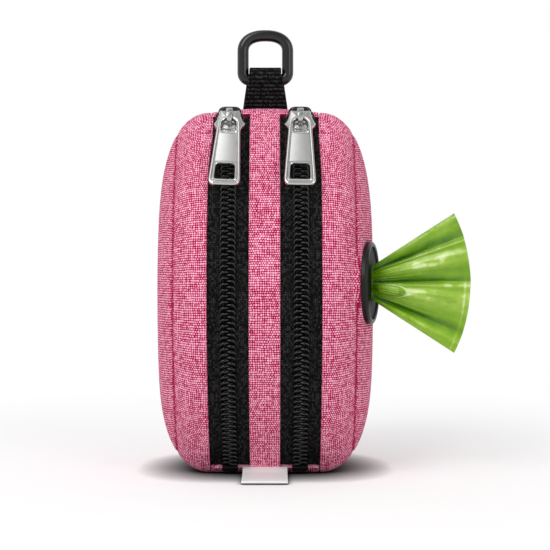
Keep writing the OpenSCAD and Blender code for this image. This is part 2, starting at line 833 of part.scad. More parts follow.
// Folded ribbon that hangs out of the lower seam and lies just above the surface.
module label_tab() {
    root = [track_y - track_r * cos(seam_a), mid_z - track_r * sin(seam_a)];
    low = 0.3;
    bend = 4.5;
    tip = root[0] - tab_l;
    color("white")
        across(-tab_w / 2, tab_w / 2)
            polygon([root, [root[0] - 0.9, root[1] + 0.55], [root[0] - bend, low + tab_t + 0.15],
                [tip + 0.3, low + tab_t], [tip, low + tab_t / 2], [tip + 0.3, low],
                [root[0] - bend, low], [root[0] - 1.6, low + 0.35]]);
}

// Outer part of the grommet: a rounded flange, a pocket for the rubber disc, and a barrel.
module grommet_flange() {
    bore_r = barrel_r - barrel_t;
    pocket_r = disc_r + round_fit;
    floor_z = 0.4;
    edge_r = 1.2;
    color("black")
        at_grommet()
            rotate_extrude($fn = 96)
                polygon(concat(
                    [[bore_r, -barrel_l], [barrel_r, -barrel_l], [barrel_r, 0], [flange_r, 0],
                        [flange_r, flange_h - edge_r]],
                    [for (a = [15:15:90]) [flange_r - edge_r + edge_r * cos(a),
                        flange_h - edge_r + edge_r * sin(a)]],
                    [[pocket_r, flange_h - 0.3], [pocket_r, floor_z], [bore_r, floor_z]]));
}

// Rubber disc with the upright slot that the film is drawn through.
module grommet_disc() {
    slot_l = neck_w + 2 * slot_fit;
    slot_w = film_t + 2 * slot_fit;
    color("dimgray")
        at_grommet()
            translate([0, 0, 0.4])
                difference() {
                    cylinder(r = disc_r, h = disc_t, $fn = 96);
                    translate([-slot_l / 2, -slot_w / 2, -1])
                        cube([slot_l, slot_w, disc_t + 2]);
                }
}

// Ring pressed on the barrel from inside, against the shell.
module grommet_clamp() {
    color("black")
        at_grommet()
            translate([0, 0, -shell_t - clamp_t])
                difference() {
                    cylinder(r = clamp_r, h = clamp_t, $fn = 96);
                    translate([0, 0, -1])
                        cylinder(r = barrel_r + round_fit, h = clamp_t + 2, $fn = 96);
                }
}

module bag_roll() {
    color("yellowgreen")
        translate([roll_x, 0, roll_z])
            difference() {
                cylinder(r = roll_r, h = roll_l, $fn = 96);
                translate([0, 0, -1])
                    cylinder(r = core_r, h = roll_l + 2, $fn = 72);
            }
}

module roll_core() {
    color("tan")
        translate([roll_x, 0, roll_z])
            difference() {
                cylinder(r = core_r, h = roll_l, $fn = 72);
                translate([0, 0, -1])
                    cylinder(r = core_r - core_t, h = roll_l + 2, $fn = 72);
            }
}

// Leading bag: gathered film from the roll through the slot, spread into a pleated fan outside.
// In the grommet's place, X runs down, Y runs across the film and Z runs out.
module lead_bag() {
    root_z = disc_r / 6;
    spread = fan_a * 2;
    steps = fan_pleats * 2;
    apex = neck_w / 2 / tan(fan_a);
    rings = 5;
    function reach(u) = fan_l + fan_corner * pow(abs(2 * u - 1), 2) - root_z;
    function fan_point(k, i, side) =
        let (u = i / steps,
            a = -fan_a + spread * u,
            f = k / rings,
            edge = [-reach(u) * sin(a) * 1.02, reach(u) * cos(a)],
            neck = [-neck_w / 2 * sin(a) / sin(fan_a), 0],
            p = neck + (edge - neck) * f,
            fold = (i % 2 == 0 ? 1 : -1) * pleat_d / 2 * f)
        [p[0], fold + side * film_t / 2, root_z + p[1]];
    m = steps + 1;
    total = rings + 1;
    points = [for (side = [-1, 1], k = [0:rings], i = [0:steps]) fan_point(k, i, side)];
    function at(s, k, i) = s * total * m + k * m + i;
    faces = concat(
        [for (k = [0:rings - 1], i = [0:steps - 1])
            each [[at(0, k, i), at(0, k, i + 1), at(0, k + 1, i + 1)],
                [at(0, k, i), at(0, k + 1, i + 1), at(0, k + 1, i)],
                [at(1, k, i), at(1, k + 1, i + 1), at(1, k, i + 1)],
                [at(1, k, i), at(1, k + 1, i), at(1, k + 1, i + 1)]]],
        [for (i = [0:steps - 1])
            each [[at(0, 0, i), at(1, 0, i), at(1, 0, i + 1)], [at(0, 0, i), at(1, 0, i + 1), at(0, 0, i + 1)],
                [at(0, rings, i), at(0, rings, i + 1), at(1, rings, i + 1)],
                [at(0, rings, i), at(1, rings, i + 1), at(1, rings, i)]]],
        [for (k = [0:rings - 1])
            each [[at(0, k, 0), at(0, k + 1, 0), at(1, k + 1, 0)], [at(0, k, 0), at(1, k + 1, 0), at(1, k, 0)],
                [at(0, k, steps), at(1, k, steps), at(1, k + 1, steps)],
                [at(0, k, steps), at(1, k + 1, steps), at(0, k + 1, steps)]]]);
    color("yellowgreen")
        at_grommet() {
            polyhedron(points, faces, convexity = 8);
            translate([-neck_w / 2, -film_t / 2, -strand_l])
                cube([neck_w, film_t, strand_l + root_z + eps]);
        }
}

module left_inner_tape() {
    color("black")
        mirror([1, 0, 0])
            inner_tape();
}

module left_outer_tape() {
    color("black")
        mirror([1, 0, 0])
            outer_tape();
}

module right_inner_tape() {
    color("black")
        inner_tape();
}

module right_outer_tape() {
    color("black")
        outer_tape();
}

module left_inner_coil() {
    color("black")
        mirror([1, 0, 0])
            coil(-1, -0.25);
}

module left_outer_coil() {
    color("black")
        mirror([1, 0, 0])
            coil(1, 0.25);
}

module right_inner_coil() {
    color("black")
        coil(-1, -0.25);
}

module right_outer_coil() {
    color("black")
        coil(1, 0.25);
}

module left_slider() {
    color("silver")
        on_zip(-1)
            slider_body();
}

module left_bridge() {
    color("gray")
        on_zip(-1)
            bridge_body();
}

module left_pull() {
    color("silver")
        pull_at(-1, left_pull_lean);
}

module right_slider() {
    color("silver")
        on_zip(1)
            slider_body();
}

module right_bridge() {
    color("gray")
        on_zip(1)
            bridge_body();
}

module right_pull() {
    color("silver")
        pull_at(1, 0);
}

centre_band();
rear_gusset();
divider_panel();
left_shell();
right_shell();
left_inner_tape();
left_outer_tape();
right_inner_tape();
right_outer_tape();
left_inner_coil();
left_outer_coil();
right_inner_coil();
right_outer_coil();
left_slider();
left_bridge();
left_pull();
right_slider();
right_bridge();
right_pull();
webbing_loop();
ring();
label_tab();
grommet_flange();
grommet_disc();
grommet_clamp();
bag_roll();
roll_core();
lead_bag();
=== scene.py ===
"""Looks of the waste bag dispenser pouch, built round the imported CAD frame.

Shapes are worked out in millimetres and turned into metres when a mesh is made.
+X is to the right of the zip side, -Y is the zip side and +Z is up.
"""
import math

import bpy
import numpy as np
from mathutils import Matrix, Vector


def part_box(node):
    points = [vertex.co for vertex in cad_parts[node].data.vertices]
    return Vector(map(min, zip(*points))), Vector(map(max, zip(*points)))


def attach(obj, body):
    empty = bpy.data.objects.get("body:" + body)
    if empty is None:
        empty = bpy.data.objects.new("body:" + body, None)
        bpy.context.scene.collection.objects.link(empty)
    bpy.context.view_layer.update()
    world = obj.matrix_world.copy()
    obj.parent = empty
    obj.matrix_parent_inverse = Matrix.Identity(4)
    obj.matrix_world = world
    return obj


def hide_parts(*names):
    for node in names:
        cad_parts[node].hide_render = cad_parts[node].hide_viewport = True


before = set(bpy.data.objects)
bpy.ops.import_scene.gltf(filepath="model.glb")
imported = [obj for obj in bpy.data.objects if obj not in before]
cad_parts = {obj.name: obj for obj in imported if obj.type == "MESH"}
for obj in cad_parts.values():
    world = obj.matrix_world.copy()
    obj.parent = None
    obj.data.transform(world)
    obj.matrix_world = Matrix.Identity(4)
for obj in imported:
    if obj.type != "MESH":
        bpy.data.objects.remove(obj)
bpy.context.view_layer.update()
MM = 0.001


# ---------------------------------------------------------------- sizes, from the frame and from part.scad

def box_mm(node):
    """Lowest and highest corner of a CAD node in millimetres."""
    low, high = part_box(node)
    return low / MM, high / MM


shell_low, shell_high = box_mm("left_shell")
gusset_low, gusset_high = box_mm("rear_gusset")
RIM_X = -shell_high.x
DOME_D = shell_high.x - shell_low.x
BODY_D = shell_high.y - shell_low.y
BODY_H = gusset_high.z - gusset_low.z
MID_Z = BODY_H / 2
TRACK_R = 90.0
TRACK_Y = TRACK_R - BODY_D / 2
FRONT_CORNER_R = 6.0
REAR_CORNER_R = 24.0
SHELL_T = 2.6
GUSSET_T = 2.5
PART_GAP = 0.35
ROUND_Y, ROUND_TOP, ROUND_BOTTOM = 2.1, 3.4, 4.3
FLAT_TOP, TOP_FALL = 2.2, 1.4
GROOVE_X, GROOVE_D, GROOVE_W = 11.65, 0.55, 0.5
BAND_W, BAND_FACE_T, TAPE_TUCK, BAND_CORE_T = 10.3, 1.0, 1.6, 2.5
TAPE_T, TAPE_SLIT, CHAIN_W, COIL_H = 0.7, 0.35, 5.4, 2.2
TOOTH_PITCH, TOOTH_CROSS = 1.94, 0.6
CORNER_A = math.degrees(math.asin((MID_Z - FRONT_CORNER_R) / (TRACK_R - FRONT_CORNER_R)))
SEAM_A = CORNER_A - 0.3
ZIP_A = SEAM_A - math.degrees(PART_GAP / TRACK_R)
SLIDER_A = ZIP_A - math.degrees(7.3 / TRACK_R)
TAPE_R = TRACK_R - BAND_FACE_T
COIL_R = TAPE_R + COIL_H
ZIP_X = (BAND_W / 2 + RIM_X) / 2
SLIDER_GAP, PLATE_T = 0.3, 1.3
CROWN_R = COIL_R + SLIDER_GAP + PLATE_T
PULL_T, PULL_L, PULL_TOP_W, PULL_END_W, PULL_SLOPE = 1.5, 28.0, 7.7, 10.6, 5.0
BAR_Y, BAR_Z = CROWN_R + SLIDER_GAP + PULL_T / 2, 1.45
SIDES = (("left", -1), ("right", 1))


# ---------------------------------------------------------------- material nodes

class Graph:
    """A node material. Values are numbers, colours or the sockets of other nodes."""

    def __init__(self, name, **constants):
        self.material = bpy.data.materials.new(name)
        self.material.use_nodes = True
        self.tree = self.material.node_tree
        self.shader = self.tree.nodes["Principled BSDF"]
        for key, value in constants.items():
            self.put(self.shader.inputs[key.replace("_", " ")], value)

    def put(self, socket, value):
        if isinstance(value, bpy.types.NodeSocket):
            self.tree.links.new(value, socket)
        elif isinstance(value, (tuple, list)) and socket.type == "RGBA" and len(value) == 3:
            socket.default_value = (*value, 1)
        else:
            socket.default_value = value

    def node(self, kind, inputs=None, **properties):
        made = self.tree.nodes.new("ShaderNode" + kind)
        for key, value in properties.items():
            setattr(made, key, value)
        for key, value in (inputs or {}).items():
            self.put(made.inputs[key], value)
        return made

    def math(self, operation, a, b=0.0, c=0.0, clamp=False):
        return self.node("Math", {0: a, 1: b, 2: c}, operation=operation, use_clamp=clamp).outputs[0]

    def mix(self, factor, a, b, blend="MIX"):
        made = self.node("Mix", {0: factor, 6: a, 7: b}, data_type="RGBA", blend_type=blend)
        return made.outputs[2]

    def lerp(self, factor, a, b):
        return self.node("Mix", {0: factor, 2: a, 3: b}, data_type="FLOAT").outputs[0]

    def steps(self, value, low, high, to_low=0.0, to_high=1.0):
        made = self.node("MapRange", {0: value, 1: low, 2: high, 3: to_low, 4: to_high},
                         interpolation_type="SMOOTHSTEP")
        return made.outputs[0]

    def ramp(self, value, stops):
        made = self.node("ValToRGB", {0: value})
        ramp = made.color_ramp
        while len(ramp.elements) < len(stops):
            ramp.elements.new(0.5)
        for element, (position, color) in zip(ramp.elements, stops):
            element.position = position
            element.color = (*color, 1)
        return made.outputs[0]

    def vector(self, x, y, z=0.0):
        return self.node("CombineXYZ", {0: x, 1: y, 2: z}).outputs[0]

    def noise(self, vector, scale=1.0, detail=2.0, roughness=0.5):
        made = self.node("TexNoise", {"Vector": vector, "Scale": scale, "Detail": detail,
                                      "Roughness": roughness})
        return made.outputs[0]

    def white(self, vector):
        return self.node("TexWhiteNoise", {"Vector": vector}, noise_dimensions="3D").outputs[0]

    def weave_uv(self):
        """The two cloth coordinates in millimetres, kept in the mesh, and a third value: painted shade along the
        shell's groove on the cloth, painted light and shade on the film.
        """
        found = self.node("Attribute", attribute_name="weave").outputs["Vector"]
        parts = self.node("SeparateXYZ", {0: found})
        return parts.outputs[:3]

    def place(self, scale=1000.0):
        """Object coordinates, in millimetres."""
        found = self.node("TexCoord").outputs["Object"]
        return self.node("VectorMath", {0: found, "Scale": scale}, operation="SCALE").outputs[0]

    def bump(self, height, distance, strength=1.0):
        made = self.node("Bump", {"Height": height, "Distance": distance * MM, "Strength": strength})
        self.put(self.shader.inputs["Normal"], made.outputs[0])

    def finish(self, color=None, roughness=None):
        if color is not None:
            self.put(self.shader.inputs["Base Color"], color)
        if roughness is not None:
            self.put(self.shader.inputs["Roughness"], roughness)
        return self.material


def threads(g, u, v, pitch_u, pitch_v):
    """Plain weave: the cell numbers, which thread is on top, and the height of the cloth."""
    cu, cv = g.math("DIVIDE", u, pitch_u), g.math("DIVIDE", v, pitch_v)
    iu, iv = g.math("FLOOR", cu), g.math("FLOOR", cv)
    fu = g.math("SINE", g.math("MULTIPLY", g.math("FRACT", cu), math.pi))
    fv = g.math("SINE", g.math("MULTIPLY", g.math("FRACT", cv), math.pi))
    over = g.math("FLOORED_MODULO", g.math("ADD", iu, iv), 2.0)
    warp = g.math("MULTIPLY", fu, g.math("MULTIPLY_ADD", fv, 0.45, 0.55))
    weft = g.math("MULTIPLY", fv, g.math("MULTIPLY_ADD", fu, 0.45, 0.55))
    return iu, iv, over, g.lerp(over, weft, warp), g.math("MULTIPLY", fu, fv)


def pink_cloth():
    """Heathered plain weave: slubby warp and weft threads in dark, middle and pale pink, with painted shade along the
    shell's groove.
    """
    g = Graph("pink_cloth", Sheen_Weight=0.05, Sheen_Roughness=0.5, Specular_IOR_Level=0.12)
    u, v, groove_shade = g.weave_uv()
    wobble = g.math("SUBTRACT", g.noise(g.vector(u, v), 0.3, 1.0), 0.5)
    sway = g.math("SUBTRACT", g.noise(g.vector(v, u, 5.0), 0.3, 1.0), 0.5)
    u = g.math("MULTIPLY_ADD", wobble, 0.9, u)
    v = g.math("MULTIPLY_ADD", sway, 0.6, v)
    row = g.math("FLOORED_MODULO", g.math("FLOOR", g.math("DIVIDE", v, 0.8)), 2.0)
    loose = g.steps(g.noise(g.vector(u, v, 13.0), 0.2, 1.0), 0.4, 0.6, 0.0, 0.39)
    shifted = g.math("MULTIPLY_ADD", row, loose, u)
    iu, iv, over, height, _ = threads(g, shifted, v, 0.78, 0.8)
    fu = g.math("SINE", g.math("MULTIPLY", g.math("FRACT", g.math("DIVIDE", shifted, 0.78)), math.pi))
    fv = g.math("SINE", g.math("MULTIPLY", g.math("FRACT", g.math("DIVIDE", v, 0.8)), math.pi))
    # Thread crests lighter and the gaps between them darker: the weave pattern with painted shade in its gaps.
    thread_shade = g.math("MULTIPLY", fv, g.math("MULTIPLY_ADD", fu, 0.85, 0.15))
    warp = g.noise(g.vector(g.math("MULTIPLY", g.math("FLOOR", g.math("DIVIDE", u, 0.78)), 5.3),
                            g.math("MULTIPLY", v, 0.1)), 1.0, 2.0, 0.6)
    weft = g.noise(g.vector(g.math("MULTIPLY", u, 0.1), g.math("MULTIPLY", iv, 7.1), 4.0), 1.0, 2.0, 0.6)
    cell = g.white(g.vector(iu, iv))
    patch = g.noise(g.vector(u, v, 9.0), 0.09, 2.0)
    yarn = g.math("ADD", g.math("MULTIPLY", g.lerp(over, weft, warp), 0.5),
                  g.math("MULTIPLY", g.math("ADD", warp, weft), 0.45))
    tone = g.math("MULTIPLY_ADD", thread_shade, 1.7, -0.42)
    tone = g.math("MULTIPLY_ADD", yarn, 1.0, g.math("SUBTRACT", tone, 0.70))
    tone = g.math("MULTIPLY_ADD", cell, 0.75, g.math("SUBTRACT", tone, 0.375))
    tone = g.math("MULTIPLY_ADD", patch, 0.12, g.math("ADD", tone, 0.06))
    # Painted shade along the groove in the shell.
    tone = g.math("MULTIPLY_ADD", groove_shade, -0.8, tone)
    color = g.ramp(tone, [(0.0, (0.33, 0.004, 0.044)), (0.25, (0.66, 0.026, 0.13)),
                          (0.5, (0.93, 0.115, 0.30)), (0.75, (1.0, 0.27, 0.48)),
                          (1.0, (1.0, 0.62, 0.77))])
    g.bump(height, 0.16, 0.7)
    return g.finish(color, 0.85)


def dark_textile(name, color, pitch_u, pitch_v, light=3.0, depth=0.1, rough=0.8, rib=0.0):
    """Close weave in one dark yarn, for tapes, webbing and linings, with painted shade in its thread gaps. rib is the
    pitch of its raised rows, whose crests get a painted highlight.
    """
    g = Graph(name, Specular_IOR_Level=0.1)
    u, v, _ = g.weave_uv()
    iu, iv, over, height, thread_shade = threads(g, u, v, pitch_u, pitch_v)
    cell = g.white(g.vector(iu, iv))
    cell = g.math("MULTIPLY", cell, cell)
    fluff = g.noise(g.vector(u, v), 0.9, 3.0, 0.7)
    # Colour follows thread height times random yarn and fluff: random tone with painted shade in the gaps between
    # threads.
    tone = g.math("MULTIPLY", g.math("MULTIPLY", height, g.math("MULTIPLY_ADD", cell, 1.8, 0.05)),
                  g.math("MULTIPLY", fluff, 1.7))
    if rib:
        # Painted highlight on the raised rows and painted shade between them.
        wave = g.math("MULTIPLY_ADD", g.math("COSINE", g.math("MULTIPLY", v, 2 * math.pi / rib)), -0.5, 0.5)
        tone = g.math("MULTIPLY", tone, g.math("MULTIPLY_ADD", g.math("POWER", wave, 2.5), 1.7, 0.06))
    dark = tuple(c * 0.25 for c in color)
    pale = tuple(c * light for c in color)
    g.bump(height, depth, 0.7)
    return g.finish(g.mix(tone, dark, pale), rough)


def plastic(name, color, rough, grain=0.02, scale=3.0, **constants):
    """Moulded plastic or rubber with a faint grain and worn, slightly smoother patches."""
    g = Graph(name, **constants)
    at = g.place()
    fine = g.noise(at, scale, 2.0)
    patch = g.noise(at, 0.15, 2.0)
    tone = g.mix(patch, tuple(c * 0.85 for c in color), tuple(c * 1.2 for c in color))
    g.bump(fine, grain, 0.5)
    return g.finish(tone, g.math("MULTIPLY_ADD", patch, 0.16, rough - 0.08))


def plated_metal(name, color, rough, lines=0.0):
    """Plated zinc: small ripples of polishing, and brushed lines where it is satin."""
    g = Graph(name, Metallic=1.0)
    at = g.place()
    ripple = g.noise(at, 0.45, 1.0)
    height, depth = ripple, 0.02
    if lines:
        parts = g.node("SeparateXYZ", {0: at})
        height = g.noise(g.vector(g.math("MULTIPLY", parts.outputs[0], 7.0), parts.outputs[1],
                                  g.math("MULTIPLY", parts.outputs[2], 0.4)), 1.0, 2.0)
        depth = 0.012 * lines
    tone = g.mix(ripple, tuple(c * 0.92 for c in color), color)
    g.bump(height, depth, 0.3)
    return g.finish(tone, g.math("MULTIPLY_ADD", height, 0.08 + lines * 0.06, rough - 0.05))


def film_plastic(name):
    """Thin glossy bag film, crinkled; its colour carries the fan's painted light and shade: painted shade in fold
    valleys, painted highlights on ridges and painted highlight patches.
    """
    g = Graph(name, Specular_IOR_Level=0.42, Coat_Weight=0.12, Coat_Roughness=0.1)
    u, v, painted_light = g.weave_uv()
    crinkle = g.noise(g.vector(g.math("MULTIPLY", u, 0.35), g.math("MULTIPLY", v, 0.1)), 1.0, 2.0, 0.5)
    dent = g.noise(g.vector(u, v, 3.0), 0.16, 2.0, 0.55)
    # shine: painted highlight patches on the lit folds.
    shine = g.math("MULTIPLY", g.steps(dent, 0.45, 0.68), g.steps(painted_light, 0.1, 0.55))
    tone = g.math("MULTIPLY_ADD", painted_light, 0.5, 0.5)
    tone = g.math("MULTIPLY_ADD", g.math("SUBTRACT", crinkle, 0.5), 0.22, tone)
    tone = g.math("MULTIPLY_ADD", g.math("SUBTRACT", dent, 0.5), 0.3, tone)
    tone = g.math("MULTIPLY_ADD", shine, 0.35, tone)
    color = g.ramp(tone, [(0.0, (0.02, 0.09, 0.0)), (0.25, (0.075, 0.22, 0.0)), (0.5, (0.20, 0.41, 0.004)),
                          (0.75, (0.37, 0.58, 0.07)), (1.0, (0.66, 0.82, 0.36))])
    g.bump(g.math("ADD", crinkle, g.math("MULTIPLY", dent, 1.5)), 0.5, 0.5)
    return g.finish(color, g.math("MULTIPLY_ADD", dent, 0.2, 0.14))


def white_ribbon():
    """Ribbed white ribbon."""
    g = Graph("ribbon", Sheen_Weight=0.2)
    u, v, _ = g.weave_uv()
    rib = g.math("SINE", g.math("MULTIPLY", v, 2 * math.pi / 0.55))
    fine = g.noise(g.vector(g.math("MULTIPLY", u, 0.3), v), 3.0, 2.0)
    tone = g.mix(fine, (0.95, 0.99, 0.97), (0.98, 1.0, 1.0))
    g.bump(g.math("MULTIPLY_ADD", rib, 0.5, fine), 0.08, 0.5)
    return g.finish(tone, 0.55)


def card():
    g = Graph("card")
    at = g.place()
    fibre = g.noise(at, 2.0, 4.0, 0.7)
    g.bump(fibre, 0.05, 0.5)
    return g.finish(g.mix(fibre, (0.28, 0.17, 0.08), (0.42, 0.28, 0.16)), 0.85)


M = {
    "cloth": pink_cloth(),
    "lining": dark_textile("lining", (0.02, 0.02, 0.022), 0.5, 0.4),
    "tape": dark_textile("zip_tape", (0.0045, 0.0045, 0.0045), 0.6, 0.75, light=8.0),
    "webbing": dark_textile("webbing", (0.0045, 0.0045, 0.0048), 0.62, 0.69, light=13.0, depth=0.16, rib=1.38),
    "coil": plastic("zip_coil", (0.0025, 0.0025, 0.0025), 0.22, Specular_IOR_Level=0.5),
    "ring": plastic("ring_plastic", (0.0035, 0.0035, 0.0035), 0.2, scale=1.6),
    "grommet": plastic("grommet_plastic", (0.005, 0.005, 0.005), 0.36, grain=0.03, Specular_IOR_Level=0.28),
    "rubber": plastic("disc_rubber", (0.004, 0.004, 0.004), 0.6, grain=0.05, scale=4.0, Specular_IOR_Level=0.16),
    "metal": plated_metal("slider_metal", (0.64, 0.64, 0.63), 0.13),
    "satin": plated_metal("satin_metal", (0.62, 0.62, 0.61), 0.31, lines=1.0),
    "cast": plated_metal("cast_slider_metal", (0.58, 0.58, 0.57), 0.26),
    "lug": plated_metal("polished_lug_metal", (0.5, 0.5, 0.49), 0.16),
    "film": film_plastic("film"),
    "ribbon": white_ribbon(),
    "card": card(),
}


# ---------------------------------------------------------------- meshes

def add_piece(name, points, faces, material, body, replaces=(), weave=None, corner_weave=None,
              sharp=None, flat=False, second=None):
    """Makes a piece from points in millimetres. second is (material, set of face numbers)."""
    mesh = bpy.data.meshes.new(name)
    mesh.from_pydata((np.asarray(points, float) * MM).tolist(), [], faces)
    mesh.materials.append(material)
    if second:
        mesh.materials.append(second[0])
        chosen = np.zeros(len(mesh.polygons), np.int32)
        chosen[list(second[1])] = 1
        mesh.polygons.foreach_set("material_index", chosen)
    mesh.polygons.foreach_set("use_smooth", np.full(len(mesh.polygons), not flat))
    if weave is not None:
        layer = mesh.attributes.new("weave", "FLOAT_VECTOR", "POINT")
        uv = np.zeros((len(points), 3), np.float32)
        uv[:, :np.shape(weave)[1]] = weave
        layer.data.foreach_set("vector", uv.ravel())
    if corner_weave is not None:
        layer = mesh.attributes.new("weave", "FLOAT_VECTOR", "CORNER")
        uv = np.zeros((len(corner_weave), 3), np.float32)
        uv[:, :np.shape(corner_weave)[1]] = corner_weave
        layer.data.foreach_set("vector", uv.ravel())
    if sharp is not None:
        mesh.set_sharp_from_angle(angle=math.radians(sharp))
    mesh.update()
    piece = bpy.data.objects.new(name, mesh)
    bpy.context.scene.collection.objects.link(piece)
    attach(piece, body)
    if replaces:
        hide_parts(*replaces)
    return piece


def loft(rings, closed=True, cap_start=False, cap_end=False):
    """Points and quads through rings of equal length."""
    rings = np.asarray(rings, float)
    count, n = rings.shape[:2]
    faces = []
    for a in range(count - 1):
        for i in range(n if closed else n - 1):
            j = (i + 1) % n
            faces.append((a * n + i, a * n + j, (a + 1) * n + j, (a + 1) * n + i))
    if cap_start:
        faces.append(tuple(range(n))[::-1])
    if cap_end:
        faces.append(tuple(range((count - 1) * n, count * n)))
    return rings.reshape(-1, 3), faces


def join(parts):
    """Several (points, faces) as one."""
    points, faces, start = [], [], 0
    for p, f in parts:
        points.append(np.asarray(p, float))
        faces += [tuple(i + start for i in face) for face in f]
        start += len(p)
    return np.concatenate(points), faces


def unit(v):
    return v / np.maximum(np.linalg.norm(v, axis=-1, keepdims=True), 1e-12)


def tube(line, radius, sides=10, closed=False, up=(0, 1, 0), squash=1.0, caps=True):
    """Round or oval bar along a line. Its section is wide across the line and squashed along up."""
    line = np.asarray(line, float)
    n = len(line)
    along = np.roll(line, -1, 0) - np.roll(line, 1, 0) if closed else np.gradient(line, axis=0)
    along = unit(along)
    up = np.broadcast_to(np.asarray(up, float), line.shape)
    side = unit(np.cross(up, along))
    rise = unit(np.cross(along, side))
    radius = np.broadcast_to(np.asarray(radius, float), (n,))
    turn = np.linspace(0, 2 * np.pi, sides, endpoint=False)
    rings = (line[:, None] + side[:, None] * (np.cos(turn)[None, :, None] * radius[:, None, None])
             + rise[:, None] * (np.sin(turn)[None, :, None] * radius[:, None, None] * squash))
    if closed:
        rings = np.concatenate([rings, rings[:1]])
        points, faces = loft(rings)
        k = (len(rings) - 1) * sides
        faces = [tuple(i - k if i >= k else i for i in f) for f in faces]
        return points[:k], faces
    return loft(rings, cap_start=caps, cap_end=caps)


# ---------------------------------------------------------------- the pouch's side outline

def arc(cy, cz, r, start, end, steps):
    a = np.radians(np.linspace(start, end, steps, endpoint=False))
    return np.c_[cy + r * np.cos(a), cz + r * np.sin(a)]


def run(p, q, steps):
    t = np.linspace(0, 1, steps, endpoint=False)[:, None]
    return np.array(p) + (np.array(q) - np.array(p)) * t


def side_outline(inset=0.0):
    """Side outline of the pouch as in part.scad, front arc first, with closer points."""
    rf, rr = FRONT_CORNER_R - inset, REAR_CORNER_R - inset
    fy = TRACK_Y - (TRACK_R - FRONT_CORNER_R) * math.cos(math.radians(CORNER_A))
    ry = BODY_D / 2 - REAR_CORNER_R
    hf, hr, half = MID_Z - FRONT_CORNER_R, MID_Z - REAR_CORNER_R, MID_Z - inset
    back = BODY_D / 2 - inset
    return np.concatenate([
        arc(TRACK_Y, MID_Z, TRACK_R - inset, 180 + CORNER_A, 180 - CORNER_A, 112),
        arc(fy, MID_Z + hf, rf, 180 - CORNER_A, 90, 9),
        run([fy, MID_Z + half], [ry, MID_Z + half], 10),
        arc(ry, MID_Z + hr, rr, 90, 0, 26),
        run([back, MID_Z + hr], [back, MID_Z - hr], 40),
        arc(ry, MID_Z - hr, rr, 0, -90, 26),
        run([ry, MID_Z - half], [fy, MID_Z - half], 10),
        arc(fy, MID_Z - hf, rf, 270, 180 + CORNER_A, 9)])


OUTLINE = side_outline()
START = len(OUTLINE) - 14
OUTLINE = np.roll(OUTLINE, -START, 0)
ALONG = unit(np.roll(OUTLINE, -1, 0) - np.roll(OUTLINE, 1, 0))
OUTWARD = np.c_[-ALONG[:, 1], ALONG[:, 0]]
STEP = np.linalg.norm(np.roll(OUTLINE, -1, 0) - OUTLINE, axis=1)
LENGTH = np.concatenate([[0], np.cumsum(STEP)])
FRONT_MIDDLE = int(np.argmin(OUTLINE[:, 0]))
LENGTH -= LENGTH[FRONT_MIDDLE]


def outline_at(inset):
    """The outline moved in along its normals, point by point."""
    return OUTLINE - OUTWARD * inset


# ---------------------------------------------------------------- shells

def shares_up(turn):
    """How far a ring of the dome still reaches up and down, as shares of its rim."""
    s, c = min(math.sin(math.radians(turn)), 1.0), max(math.cos(math.radians(turn)), 0.0)
    return (1 - s ** FLAT_TOP) ** (1 / ROUND_TOP), c ** (2 / ROUND_BOTTOM)


def fallen(z, u):
    """Heights on the pouch's upper half, let down towards the shell rims at u = 1."""
    lift = z - MID_Z
    return MID_Z + lift * np.where(lift > 0, 1 - TOP_FALL / MID_Z * u * u, 1.0)


def dome_ring(points, turn, depth, press=0.0):
    c = max(math.cos(math.radians(turn)), 0.0)
    up, down = shares_up(turn)
    lift = fallen(points[:, 1], 1.0) - MID_Z
    return np.c_[np.full(len(points), RIM_X + depth * math.sin(math.radians(turn))),
                 points[:, 0] * c ** (2 / ROUND_Y) * (1 - press / (BODY_D / 2)),
                 MID_Z + lift * np.where(lift > 0, up, down) * (1 - press / MID_Z)]


def arc_lengths(turns, size, share, depth):
    """Length over the dome from its crown to each turn, in the middle of one side."""
    fine = np.radians(np.linspace(0, 90, 2001))
    x, s = depth * np.sin(fine), size * np.array([share(t) for t in np.degrees(fine)])
    length = np.concatenate([[0], np.cumsum(np.hypot(np.diff(x), np.diff(s)))])
    return length[-1] - np.interp(np.radians(turns), fine, length)


GROM_U = 15.0 / (BODY_D / 2)
GROM_W = math.sqrt(1 - GROM_U ** ROUND_Y)
GROM_SLOPE = math.atan(DOME_D / BODY_D * ROUND_Y * GROM_U ** (ROUND_Y - 1) / GROM_W)
GROM_TURN = GROM_SLOPE + math.radians(0.54)
GROM_AT = np.array([RIM_X + DOME_D * GROM_W - 1.33, -15.0, 65.5])
GROM_OUT = np.array([math.cos(GROM_TURN), -math.sin(GROM_TURN), 0.0])
GROM_ACROSS = np.array([math.sin(GROM_TURN), math.cos(GROM_TURN), 0.0])
GROM_DOWN = np.array([0.0, 0.0, -1.0])
FLANGE_R, FLANGE_H, DISC_R, BARREL_R = 14.05, 2.3, 12.3, 11.4


def smooth(share):
    share = np.clip(share, 0, 1)
    return share * share * (3 - 2 * share)


def at_grommet(points):
    """Points drawn round +Z at the grommet, its X down and its Y across, in the pouch's place."""
    p = np.asarray(points, float)
    return GROM_AT + p[..., :1] * GROM_DOWN + p[..., 1:2] * GROM_ACROSS + p[..., 2:3] * GROM_OUT


